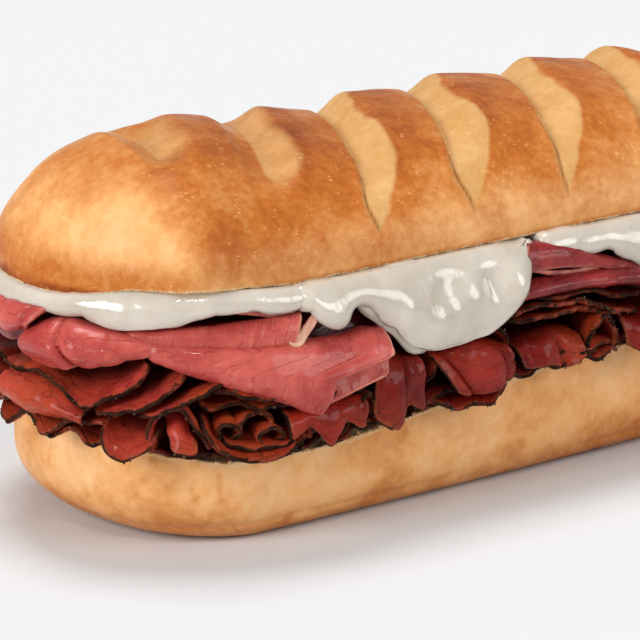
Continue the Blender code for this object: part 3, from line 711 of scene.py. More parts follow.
def roll_top():
    """The upper half: the scored dome, and the cut face under it."""
    columns, rows, under = 380, 168, 22
    bm = bmesh.new()
    marks = new_marks(bm, CRUST_MARKS)
    bmesh.ops.create_grid(bm, x_segments=columns, y_segments=rows, size=0.5)
    reach = {}
    for vert in bm.verts:
        column = round((vert.co.x + 0.5) * columns)
        share = column / columns
        closer_at_ends = -HALF * math.cos(math.pi * share)
        along = 0.25 * closer_at_ends + 0.75 * mix(-HALF, HALF, share)
        angle = math.pi * (vert.co.y + 0.5)
        point, down = crust_point(along, angle)
        reach[column] = along
        height = (point.z / MM - CUT_UP) / (ROLL_TOP - CUT_UP)
        found = score_marks(along, down, height, rough(point, 7, 2.2))
        for name, value in zip(("opened", "bake", "crease"), found):
            vert[marks[name]] = value
        out = Vector((0.0, point.y, point.z - 0.045)).normalized()
        edge = min(vert.co.y + 0.5, 0.5 - vert.co.y)
        vert.co = point + out * dough_waves(point, smooth(edge / 0.05)) * MM
        if edge < 1e-6:
            vert[marks["crumb"]] = 0.35
            vert.co.z += 0.35 * rough(point, 3.0, 5.0) * MM
    crust_verts = set(bm.verts)
    bmesh.ops.create_grid(bm, x_segments=columns, y_segments=under, size=0.5)
    for vert in bm.verts:
        if vert not in crust_verts:
            column = round((vert.co.x + 0.5) * columns)
            front, _ = crust_point(reach[column], 0.0)
            back, _ = crust_point(reach[column], math.pi)
            share = vert.co.y + 0.5
            vert[marks["crumb"]] = 1.0
            vert[marks["bake"]] = 0.4
            inner = smooth(min(share, 1 - share) / 0.05)
            vert.co = front.lerp(back, share)
            level = cut_up(vert.co.x / MM) + inner * (0.25 * rough(vert.co, 2.4, 1.0) - 0.25)
            if inner == 0:
                level += 0.35 * rough(vert.co, 3.0, 5.0)
            vert.co.z = level * MM
    seal(bm, 0.02)
    return object_from(bm, "roll_top", crust)


def rim_up(x, y):
    """The height of the lower half's rim, pressed down where most meat hangs over the front."""
    pressed = 6.5 * bump(x, -62, 75) * smooth(-y / END_RADIUS)
    return LOWER_TOP + 1.5 * smooth((x + 10) / 60) - pressed


def lower_point(up, turn):
    """A point on the lower half's side at this height, turned about the roll's middle."""
    shrink = 1 - math.sqrt(max(0.0, 1 - max(0.0, 1 - up / BASE_ROUND) ** 2))
    c, s = math.cos(turn), math.sin(turn)
    power = 2 / BASE_SQUARENESS
    half = HALF - LOWER_SHORT
    straight = half - END_RADIUS
    reach_y = LOWER_WIDTH / 2 - BASE_INSET * shrink
    reach_x = END_RADIUS - BASE_END_INSET * shrink
    x = math.copysign(abs(c) ** power * reach_x + straight * smooth(abs(c) / 0.3) ** 0.5, c)
    return x, math.copysign(abs(s) ** power, s) * reach_y


def roll_base():
    """The lower half: its side up to the rough rim, and the cut face inside it."""
    around, side, inner = 440, 54, 22
    levels = side + inner
    bm = bmesh.new()
    marks = new_marks(bm, CRUST_MARKS)
    bmesh.ops.create_grid(bm, x_segments=around, y_segments=levels, size=0.5)
    for vert in bm.verts:
        step = round((vert.co.y + 0.5) * levels)
        angle = 2 * math.pi * (round((vert.co.x + 0.5) * around) % around + 0.5) / around
        x, y = lower_point(LOWER_TOP, angle)
        height = rim_up(x, y)
        if step <= side:
            share = (step / side) ** 1.35
            up = height * share
            x, y = lower_point(up, angle)
            point = place(x, y, up)
            out = Vector((x, y * 2, 0)).normalized()
            lift = smooth(share / 0.1) * smooth((1 - share) / 0.1)
            crease = 0.5 * bump(up, 4.6, 1.5) * smooth((rough(point, 40, 6.0) + 0.5) / 0.6)
            vert.co = point + out * (dough_waves(point, lift * 1.3) - crease * lift) * MM
            if share > 0.93:
                vert.co.z += 0.55 * rough(point, 2.6, 9.0) * smooth((share - 0.93) / 0.07) * MM
            bake = 0.17 + 0.34 * smooth((0.5 - share) / 0.5) + 0.13 * rough(point, 26, 1.0)
            bake += 0.07 * rough(point, 8, 2.0) + 0.09 * rough(point, 3.2, 3.0)
            streak = smooth(1 - abs(rough(place(x, y, up * 0.4), 12, 7.0)) / 0.07)
            bake += 0.15 * streak * smooth((rough(point, 10, 5.0) - 0.05) / 0.2)
            vert[marks["bake"]] = bake
            vert[marks["crumb"]] = 0.55 * smooth((share + 0.04 * rough(point, 3, 4.0) - 0.95) / 0.03)
        else:
            share = 1 - 0.9 * (step - side) / inner
            up = mix(height, LOWER_TOP, smooth((1 - share) / 0.3)) - 0.8 * smooth((1 - share) / 0.04)
            point = place(x * mix(1, share, 0.42), y * share, up)
            point.z += (0.5 * rough(point, 2.2, 1.0) + 0.3 * rough(point, 5.0, 2.0)) * MM
            vert.co = point
            vert[marks["crumb"]] = 1.0
            vert[marks["bake"]] = 0.2
    seal(bm, 0.01)
    return object_from(bm, "roll_base", crust)


serve(roll_top(), "crust", "bread_top")
serve(roll_base(), "crust", "bread_bottom")


# The filling

def held(s, out, up, thickness):
    """Keeps a point of the filling between the two halves of the roll."""
    spot = beside(s, out, up) / MM
    lowest = rim_up(spot.x, spot.y) if out > -5 else LOWER_TOP
    lowest += GAP + thickness / 2 + 0.5
    if out > RIM_OVERHANG:
        lowest -= 12 * smooth(out / RIM_OVERHANG - 1)
    slack = CHEESE_GAP if thickness == CHEESE_THICK else GAP + 0.2
    highest = cut_up(spot.x) - thickness / 2 - slack
    return place(spot.x, spot.y, min(max(up, lowest), highest))


def sheet(curves, ripple=(0.0, 0.0, 0.0), lean=0.0, sway=0.0):
    """A surface lofted through curves of (s, out, up), first at its root and last at its rim."""
    height, count, phase = ripple

    def surface(u, v):
        lines = [along_curve(curve, u) for curve in curves]
        s, out, up = along_curve(lines, v)
        wave = 2 * math.pi * (count * u + phase)
        grown = max(0.0, v) ** 1.4
        up += height * math.sin(wave) * grown
        out += lean * math.cos(wave) * grown
        s += sway * math.cos(wave) * grown
        return s, out, up

    return surface


def cone(tip, mouth, radii, squash, slant, lip=0.0):
    """A slice rolled into a cone from tip to mouth, both (s, out, up), its seam facing inward.

    The lip is how far the mouth's upper edge runs on past its lower one.
    """

    def surface(u, v):
        angle = math.pi + 0.3 + u * CONE_SWEEP
        share = max(0.0, v) ** 1.2
        radius = mix(radii[0], radii[1], share) * (1 + CONE_SPIRAL * u) * min(1.0, v / 0.05) ** 0.5
        s, out, up = (mix(a, b, v) for a, b in zip(tip, mouth))
        s += (slant[0] * math.cos(angle) + slant[1] * math.sin(angle)) * share
        s += lip * smooth((math.sin(angle) - 0.06) / 0.42) * share
        radius += 0.05 * lip * bump(v, 0.93, 0.12)
        return s, out + radius * squash * math.cos(angle), up + radius * math.sin(angle)

    return surface


def fold(profile, outs, shrink, lift):
    """A slice folded to a profile of (s, up), seen end-on, running from outs[0] to outs[1]."""
    mid_s = sum(point[0] for point in profile) / len(profile)
    mid_up = sum(point[1] for point in profile) / len(profile)

    def surface(u, v):
        s, up = along_curve(profile, u)
        share = mix(shrink, 1.0, v)
        s = mid_s + (s - mid_s) * share
        up = mid_up + lift * (1 - v) + (up - mid_up) * share
        return s, mix(outs[0], outs[1], v), up

    return surface


# Soft lumps and hollows in the large cheese slice: s, up, size and how far out
CHEESE_LUMPS = (
    (-3.5, 50.5, 3.6, 1.3), (-10.5, 51.5, 3.4, -1.7), (-16.5, 49.5, 3.8, 1.2), (-23.0, 52.5, 4.0, -1.1),
    (-26.0, 45.5, 4.5, 1.1), (-15.0, 43.0, 3.5, -0.6), (-34.0, 50.5, 4.0, 0.9),
)


def pleated(surface, *pleats):
    """Presses folds into a surface, each given by its place at the root and rim, and its depth."""

    def pressed(u, v):
        s, out, up = surface(u, v)
        for root, rim, depth in pleats:
            across = (u - mix(root, rim, v)) / 0.06
            across *= 3.6 if across < 0 else 0.8
            out -= depth * math.exp(-across * across) * smooth(v / 0.4)
        return s, out, up

    return pressed


def melted(edge, out, across, back_drop=0.0):
    """Melted cheese: flat over the meat, bulging from under the crust, and hanging to edge.

    The edge is [(s, up)], and across is how far the slice reaches back through the sandwich.
    """
    bulge = [(-0.35, 0.0), (0.10, 0.02), (0.52, 0.16), (0.86, 0.42), (1.0, 0.74), (0.86, 1.0)]
    inside = 0.3
    first, last = edge[0][0], edge[-1][0]

    def surface(u, v):
        s, low = along_curve(edge, u)
        top = cut_up(beside(s, 0, 0).x / MM) - 1.9
        low = min(low, top - 2.6)
        hang = smooth((top - low) / 14)
        near = min(1.0, abs(s - first) / 4.5, abs(last - s) / 4.5)
        stand = mix(1.4, out * (0.6 + 0.4 * hang), math.sqrt(1 - (1 - near) ** 2))
        if v > inside:
            ahead, dropped = along_curve(bulge, (v - inside) / (1 - inside))
            up = mix(top + 1.2, low, dropped)
            pressed = 0.0
            for at_s, at_up, size, rise in CHEESE_LUMPS:
                pressed += rise * math.exp(-((s - at_s) ** 2 + (up - at_up) ** 2) / size**2)
            return s, stand * ahead + pressed * smooth(dropped / 0.3), up
        share = v / inside
        if back_drop and share < 0.25:
            over = 1 - share / 0.25
            sag = back_drop * (0.45 + 0.55 * near) * (1.2 + 0.9 * rough(place(s, 0, 0), 6.0, 3.0))
            return s, across - 5 * over * (0.5 + 0.5 * near), top + 1 - sag * smooth(over)
        return s, mix(across, -0.35 * max(stand, 1.0), smooth(share)), top + 1.0

    return surface


class Cut:
    """How a kind of slice is cut: its thickness, rounding at the rim, waviness and ragged edge."""

    def __init__(self, thick, rounding, waves, curl, ragged, pitch, crowd):
        self.thick, self.rounding, self.waves = thick, rounding, waves
        self.curl, self.ragged, self.pitch, self.crowd = curl, ragged, pitch, crowd


CORNED_CUT = Cut(1.3, 0.7, 0.34, 0.4, 0.5, 0.48, 1.4)
PASTRAMI_CUT = Cut(1.0, 0.45, 0.6, 0.85, 1.0, 0.52, 1.4)
CHEESE_CUT = Cut(CHEESE_THICK, 1.7, 0.0, 0.0, 0.0, 0.85, 1.0)


def sliced(name, surface, kind, skin, seed):
    """A slice laid over its surface, with waves, a ragged rim and a rounded edge."""

    def spot(u, v):
        s, out, up = surface(u, v)
        return held(s, out, up, kind.thick)

    def length(points):
        return sum((b - a).length for a, b in zip(points, points[1:])) / MM

    wide = max(length([spot(i / 12, v) for i in range(13)]) for v in (0.5, 1.0))
    deep = length([spot(0.5, i / 12) for i in range(13)])
    columns = max(8, round(wide / kind.pitch))
    rows = max(8, round(deep / kind.pitch * 0.85))
    bm = bmesh.new()
    marks = new_marks(bm, SLICE_MARKS)
    sides = bm.verts.layers.deform.verify()
    uv = bm.loops.layers.uv.new("UVMap")
    bmesh.ops.create_grid(bm, x_segments=columns, y_segments=rows, size=0.5, calc_uvs=True)
    rim_of = {}
    for vert in bm.verts:
        u = vert.co.x + 0.5
        v = 1 - (0.5 - vert.co.y) ** kind.crowd
        here = Vector((u * wide, 0, 0)) * MM
        tear = kind.ragged * (0.65 * rough(here, 1.9, seed) + 1.2 * rough(here, 7.0, seed + 2) + 0.4)
        tear += kind.ragged * 3.2 * abs(2 * u - 1) ** 6
        rim_of[vert] = max(0.0, min((1 - v) * deep, u * wide, (1 - u) * wide))
        vert.co = spot(u, v * (1 - min(0.35, max(0.0, tear) / deep)))
        vert[marks["rim"]] = min(1.0, rim_of[vert] / 6)
        vert[marks["smoke"]] = smooth(0.5 + 1.3 * rough(vert.co, 22, 4.0)) * (0.35 + 0.65 * smooth(v))
        # Painted shade: the deeper a point lies inside the sandwich, the darker its colour.
        vert[marks["inner_shade"]] = smooth((5.5 - stands_out(vert.co)) / 7)
    bm.normal_update()
    pushed = []
    for vert in bm.verts:
        near_rim = smooth(1 - rim_of[vert] / 5)
        lift = kind.waves * (rough(vert.co, 6.5, seed) + 0.4 * rough(vert.co, 2.4, seed + 3))
        if kind is CHEESE_CUT:
            loose = smooth((rim_of[vert] - 0.5) / 3) * smooth(1 - rim_of[vert] / 30)
            lift += loose * (1.0 * rough(vert.co, 9.0, 2.0) + 0.45 * rough(vert.co, 4.4, 6.0))
        lift += kind.curl * near_rim * rough(vert.co, 3.6, seed + 5)
        pushed.append((vert, vert.co + vert.normal * lift * MM))
    for vert, target in pushed:
        vert.co = target
    for vert in bm.verts:
        gone = 1 - min(1.0, rim_of[vert] / kind.rounding)
        vert[sides][0] = max(0.12, math.sqrt(1 - gone * gone))
    for face in bm.faces:
        for loop in face.loops:
            loop[uv].uv = (loop[uv].uv[0] * wide / 10, loop[uv].uv[1] * deep / 10)
    made = object_from(bm, name, skin)
    made.vertex_groups.new(name="wall")
    wall = made.modifiers.new("Wall", "SOLIDIFY")
    wall.thickness = kind.thick * MM
    wall.offset = 0.0
    wall.vertex_group = "wall"
    apply_modifiers(made)
    made.vertex_groups.clear()
    return made


def stacked(name, low, high, layers, skin, seed):
    """The pile of folded slices inside, its pleated edges seen between the outer ones."""
    around, levels = 460, layers * 6
    bm = bmesh.new()
    marks = new_marks(bm, SLICE_MARKS)
    uv = bm.loops.layers.uv.new("UVMap")
    bmesh.ops.create_grid(bm, x_segments=around, y_segments=levels, size=0.5, calc_uvs=True)
    for vert in bm.verts:
        step = round((vert.co.y + 0.5) * levels)
        s = HALF_ROUND * (2 * (round((vert.co.x + 0.5) * around) % around) / around - 1)
        level = step / levels
        base = beside(s, -CORE_INSET, mix(low, high, level))
        drift = 0.5 * rough(Vector((base.x, base.y, 0.0)), 9, seed)
        pleat = abs(math.sin(math.pi * layers * (level + drift / layers)))
        out = -CORE_INSET + 1.7 * pleat**0.7 + 1.1 * rough(base, 7, seed + 1) - 0.9
        if step in (0, levels):
            out -= 1.5
        vert[marks["rim"]] = 0.15 + 0.5 * pleat
        vert[marks["smoke"]] = 0.3
        # The pile inside is given painted shade.
        vert[marks["inner_shade"]] = 0.55
        vert.co = beside(s, out, mix(low, high, level))
    for face in bm.faces:
        for loop in face.loops:
            loop[uv].uv = (loop[uv].uv[0] * 50, loop[uv].uv[1] * (high - low) / 10)
    seal(bm, 0.01)
    return object_from(bm, name, skin)


# The lower edges of the cheese slices, as (s, up)
left_edge = [
    (-27, 38.4), (-32, 39.0), (-34.5, 41), (-37.5, 44.4), (-41, 47), (-44, 50.2), (-46.5, 53.4),
    (-49, 54.6), (-52, 53.2), (-54.5, 53.4), (-57.5, 56), (-60.5, 55.4), (-64, 54.2), (-70, 54.6),
    (-76, 57.2), (-82, 56), (-88, 54), (-94, 52.8), (-100, 52.4), (-105, 53.4), (-110, 56.6),
    (-117, 56.2), (-125, 54), (-132, 52.8), (-144, 50.2), (-156, 52.6), (-168, 52.5), (-180, 50.5),
    (-192, 52), (-203, 54), (-214, 52), (27 - HALF_ROUND, 50),
]
middle_edge = [
    (-62, 55.4), (-59.5, 54.8), (-57, 51.8), (-54.5, 49.9), (-52, 49.9), (-49.5, 52.2), (-47, 53.0),
    (-44.5, 52.0), (-42, 50.0), (-39.5, 48), (-37, 46.4), (-35, 43.4), (-32.5, 41.0), (-29, 39.6),
    (-25, 39.2), (-19, 39.3), (-13, 40.2), (-9, 42.0), (-5.8, 44.4), (-3.2, 46.8), (-1.0, 49.6),
    (0.8, 52.4), (2.4, 54.6), (4.0, 55.6),
]
right_edge = [
    (7, 56.4), (11, 55.6), (16, 54.6), (21, 53.4), (26, 53.4), (30, 51.2), (36, 46.8), (41, 45.4),
    (47, 46.8), (54, 50.6), (61, 55),
]
end_edge = [
    (65, 55), (74, 50), (84, 48), (95, 52), (106, 53.5), (118, 52), (130, 50.5), (142, 52.5), (153, 54),
    (164, 51), (175, 49), (HALF_ROUND - 65, 53),
]
cheese = {
    "middle": melted(middle_edge, 7.0, -80.0, 4.0),
    "left": melted(left_edge, 4.6, -40.0),
    "right": melted(right_edge, 5.6, -80.0, 3.0),
    "end": melted(end_edge, 4.6, -40.0),
}

# The slices of meat, each laid through curves of (s, out, up) from its root inside to its rim
corned = {
    "lower_cone": cone((-94.5, 3, 47.8), (-57.0, 4.2, 38.2), (1.6, 7.0), 0.8, (-0.5, 1.5), 15.5),
    "upper_cone": cone((-99.5, 1.6, 50.2), (-62, 2.2, 49.6), (1.4, 3.1), 1.1, (-2.0, 1.0)),
    "rose": pleated(sheet([
        [(-117, -4, 50.5), (-109, -4, 51.5), (-101, -4, 51), (-93, -3, 50)],
        [(-119, 1, 50.8), (-111, 4.5, 52.4), (-102, 4.5, 51), (-93, 2, 50)],
        [(-121, 7, 46.8), (-112, 9.5, 48), (-103, 8.2, 47.6), (-93, 3.6, 48.6)],
        [(-119, 4, 42.2), (-111, 6.5, 42.8), (-102, 6.5, 44.8), (-92, 3.6, 47.4)],
    ]), (0.22, 0.45, 2.0), (0.62, 0.80, 0.8)),
    "left_fold": pleated(sheet([
        [(-144, -5, 52), (-130, -5, 53), (-116, -4, 54)],
        [(-144, 3.4, 52.4), (-131, 4.4, 53.2), (-116.5, 4, 54)],
        [(-144, 6, 49.8), (-132, 7.2, 49.4), (-118.5, 6.5, 51.4)],
        [(-144, 4.6, 46.8), (-133, 5.4, 46.2), (-121, 4.5, 49.2)],
    ]), (0.50, 0.62, 1.4), (0.80, 0.9, 0.9)),
    "under_cheese": sheet([
        [(-98, -7, 53), (-78, -7, 54.5), (-57, -7, 53)],
        [(-98, 5, 53), (-80, 3.5, 55.5), (-57, 2, 53.2)],
    ], (0.8, 2.0, 0.2)),
    "right_face": sheet([
        [(2, -7, 56), (14, -7, 54), (40, -7, 48)],
        [(2, 3, 57.5), (12, 3.6, 56), (22, 3.4, 52), (42, 3.4, 46)],
        [(-2, 5, 52.5), (12, 6.2, 51.6), (24, 5.6, 49.4), (42, 5.4, 45)],
    ]),
    "right_fold": sheet([
        [(-5, -7, 51), (8, -7, 51), (24, -7, 50)],
        [(-4, 4, 52.5), (8, 5.5, 51), (24, 5.5, 49.5)],
    ], (0.6, 1.2, 0.0)),
    "right_roll": sheet([
        [(-5, -7, 48), (15, -7, 48), (50, -7, 45)],
        [(-4, 3, 48.6), (15, 4, 49.2), (50, 4, 45.6)],
        [(-4, 6, 46.6), (16, 7.5, 47.4), (50, 7, 43.4)],
        [(-5, 1, 44.8), (16, 2, 45), (50, 2, 41.8)],
    ]),
    "right_drape": sheet([
        [(50, -7, 54), (68, -7, 55), (88, -7, 54)],
        [(50, 0.5, 51), (68, 0.5, 50), (90, 0.5, 49)],
        [(52, 6, 45.5), (68, 7.5, 45), (90, 6, 44)],
    ], (0.8, 1.5, 0.0)),
    "right_cone": cone((62, 3, 43.5), (100, 4, 43.5), (1.5, 4.6), 0.9, (-4.0, 3.0)),
    "right_end_fold": sheet([
        [(100, -6, 53), (118, -6, 54), (138, -6, 53)],
        [(102, 0.5, 52), (120, 0.5, 51), (140, 0.5, 51)],
        [(102, 6.5, 46), (120, 7.5, 46), (140, 6.5, 44.5)],
    ], (0.8, 2.2, 0.3)),
    "back_fold_1": sheet([
        [(148, -7, 52), (172, -7, 52), (198, -7, 52)],
        [(148, 0, 50.5), (172, 0.5, 50), (198, 0, 49)],
        [(148, 6, 46), (172, 7, 45), (198, 6, 45)],
    ], (1.0, 2.5, 0.1)),
    "back_fold_2": sheet([
        [(204, -7, 49), (232, -7, 50), (262, -7, 49)],
        [(204, 6, 47), (232, 7, 46), (262, 6, 46.5)],
    ], (1.4, 2.5, 0.4)),
    "back_fold_3": sheet([
        [(-236, -7, 51), (-196, -7, 52), (-152, -7, 51)],
        [(-236, 0, 49), (-196, 0.5, 48), (-152, 0, 48)],
        [(-236, 6, 45), (-196, 7, 44.5), (-152, 6, 45)],
    ], (1.0, 3.5, 0.1)),
}
pastrami = {
    "fan_1": sheet([
        [(-127, -7, 44), (-112, -7, 42), (-98, -7, 45)],
        [(-128, 7, 39.5), (-115, 7.5, 40.9), (-106, 8.5, 35.4), (-98, 7.5, 39), (-93, 5.5, 44.5)],
    ]),
    "left_face": sheet([
        [(-128, -6, 36.5), (-117, -6, 37), (-106, -6, 34.5)],
        [(-128, 3, 38), (-116, 4, 38.5), (-106, 4, 34)],
        [(-128, 7, 35), (-117, 8.5, 35), (-106, 8, 32.6)],
        [(-126, 5, 31.5), (-116, 6, 31), (-106, 5.5, 30.8)],
    ]),
    "fan_2": sheet([
        [(-108, -7, 36.5), (-98, -7, 39), (-86, -7, 43)],
        [(-104, 7.5, 33.6), (-98, 8.5, 34.9), (-93, 8, 36.7), (-87, 6, 42.6)],
    ]),
    "fan_3": sheet([
        [(-100, -7, 33), (-90, -7, 36), (-80, -7, 40)],
        [(-95, 7.5, 33.0), (-90, 8.5, 35.2), (-84, 8, 39), (-79, 6.5, 41.0)],
    ]),
    "left_tip": sheet([
        [(-152, -7, 37), (-141, -7, 37), (-130, -7, 37)],
        [(-152, 5, 36), (-141, 6.5, 38), (-130, 5.5, 35)],
    ], (1.2, 1.2, 0.3)),
    "left_low": sheet([
        [(-134, -7, 31), (-118, -7, 31), (-102, -7, 32)],
        [
            (-132, 5, 30), (-127, 7, 26), (-121, 6, 31),
            (-115, 7.8, 27.4), (-110, 6, 30.6), (-102, 6, 30.2),
        ],
    ]),
    "ruffle": sheet([
        [(-101, -6, 34), (-96, -6, 34), (-91, -6, 33)],
        [(-103, 6, 31), (-102, 8, 26.4), (-98.5, 8.7, 24.2), (-94.5, 8.2, 26), (-91.5, 6.5, 30)],
    ]),
    "arch": fold(
        [(-93.5, 25), (-93.4, 31), (-91, 35), (-87.8, 35.6), (-85, 32), (-82.5, 25.5)],
        (-7, 8.6), 0.85, 1),
    "bowl": sheet([
        [(-84, -6, 35), (-79, -6, 31), (-72, -6, 30), (-63, -6, 31)],
        [(-84, 6.5, 33), (-82, 8.5, 28), (-79, 9, 24.6), (-73, 9, 23), (-67, 8.5, 24), (-62, 7, 27)],
    ]),
    "roll": fold(
        [(-76, 28), (-77, 31.5), (-73, 33.3), (-69.5, 31.5), (-70.5, 28.5), (-73, 28.8)],
        (-7, 6.0), 0.85, 1),
    "peppered": sheet([
        [(-84, -7, 41), (-70, -7, 41), (-54, -7, 39)],
        [(-82, 6, 38.5), (-72, 7, 37), (-62, 6, 35.5), (-52, 6, 33.5)],
    ], (0.5, 2.0, 0.1)),
    "scallop_1": sheet([
        [(-66, -7, 33), (-56, -7, 33.5), (-46, -7, 33)],
        [(-67, 5, 31.4), (-57, 6, 31.2), (-46, 5, 31.3)],
        [(-67, 7, 25), (-61, 6.2, 28), (-57, 8.2, 23.2), (-52, 6.4, 27.5), (-47, 7.5, 23.8)],
    ]),
    "scallop_2": pleated(sheet([
        [(-43, -6, 40), (-36, -6, 40), (-30, -6, 39)],
        [(-43, 5, 37), (-36, 6.5, 37), (-30, 5, 37)],
        [(-45, 6.5, 27), (-39, 8.3, 22.8), (-35, 6.6, 28), (-30, 7, 24.5)],
    ]), (0.55, 0.5, 1.2)),
    "middle": pleated(sheet([
        [(-27, -6, 38.5), (-15, -6, 39), (-6, -6, 37)],
        [(-27.5, 4, 38), (-16, 6, 38), (-6, 5.5, 36)],
        [(-24, 7.5, 32), (-13, 8, 32), (-3.5, 6.5, 32.2)],
        [(-20, 7, 27.3), (-10, 7.2, 26.6), (-3, 5, 29)],
    ]), (0.12, 0.22, 1.3), (0.86, 0.72, 1.0)),
    "middle_low": sheet([
        [(-30, -7, 31), (-16, -7, 30), (-5, -7, 30)],
        [(-29, 6, 26.5), (-20, 7, 24.4), (-11, 7, 23.8), (-4, 5.5, 25.6)],
    ], (0.6, 2.5, 0.0)),
    "middle_curl": fold([(-12, 41), (-8.5, 40.4), (-5, 38), (-5.2, 34.8)], (-6, 5), 0.9, 0),
    "right_high": sheet([
        [(-7, -7, 42), (15, -7, 41), (36, -7, 38.5)],
        [(-7, 4.5, 42.5), (8, 5.5, 43.4), (20, 6, 41.4), (27, 5.5, 38.5), (36, 5.5, 36)],
    ]),
    "right_face": pleated(sheet([
        [(-1, -7, 35), (9, -7, 36), (18, -7, 35)],
        [(-1, 3, 33.6), (8, 4.6, 35.6), (18, 4.0, 33.5)],
        [(0, 5, 29), (6, 6.8, 29.2), (12, 5.6, 27.6), (18, 6.5, 28.6)],
    ]), (0.45, 0.62, 1.4), (0.1, 0.2, 0.7)),
    "right_curl": fold(
        [(19.8, 28), (19.3, 33), (21, 37), (24.5, 37.2), (27, 33.5), (26.5, 28)], (-7, 7), 0.85, 1),
    "right_red": sheet([
        [(29, -7, 37), (40, -7, 36), (52, -7, 36)],
        [(29, 5, 35), (40, 6, 34.5), (52, 6, 34)],
        [(29.5, 6.5, 28.8), (40, 7.5, 27), (52, 7, 28.5)],
    ], (0.8, 1.5, 0.2)),
    "right_ruffle": sheet([
        [(55, -7, 33), (70, -7, 33), (86, -7, 33)],
        [(55, 6, 28.5), (70, 7, 29), (86, 6, 28.5)],
    ], (3.0, 3.0, 0.1), 1.0, 0.6),
    "right_fan": sheet([
        [(58, -7, 40), (76, -7, 39.5), (94, -7, 38.5)],
        [(58, 5, 38.5), (76, 7, 36), (94, 6, 36)],
    ], (0.8, 2.0, 0.0)),
    "end_ruffle": sheet([
        [(92, -7, 32), (108, -7, 33), (126, -7, 32)],
        [(92, 5, 29), (108, 6.5, 29), (126, 6, 29)],
    ], (2.6, 3.0, 0.4), 1.0, 0.6),
    "end_fan": sheet([
        [(100, -7, 39), (118, -7, 39.5), (140, -7, 38.5)],
        [(100, 6, 37), (118, 7, 36), (140, 6, 37)],
    ], (1.0, 2.4, 0.2)),
    "back_ruffle_1": sheet([
        [(132, -7, 33), (162, -7, 34), (196, -7, 33)],
        [(132, 6, 30), (162, 6.5, 31), (196, 6, 30)],
    ], (2.2, 3.4, 0.4), 1.0, 0.6),
    "back_ruffle_2": sheet([
        [(202, -7, 35), (232, -7, 36), (262, -7, 35)],
        [(202, 6, 31), (232, 7, 33), (262, 6, 31)],
    ], (2.4, 3.4, 0.0), 1.0, 0.6),
    "back_ruffle_3": sheet([
        [(-236, -7, 34), (-196, -7, 34), (-158, -7, 35)],
        [(-236, 6, 30), (-196, 6.5, 31), (-158, 6, 30)],
    ], (2.4, 3.8, 0.2), 1.0, 0.6),
}

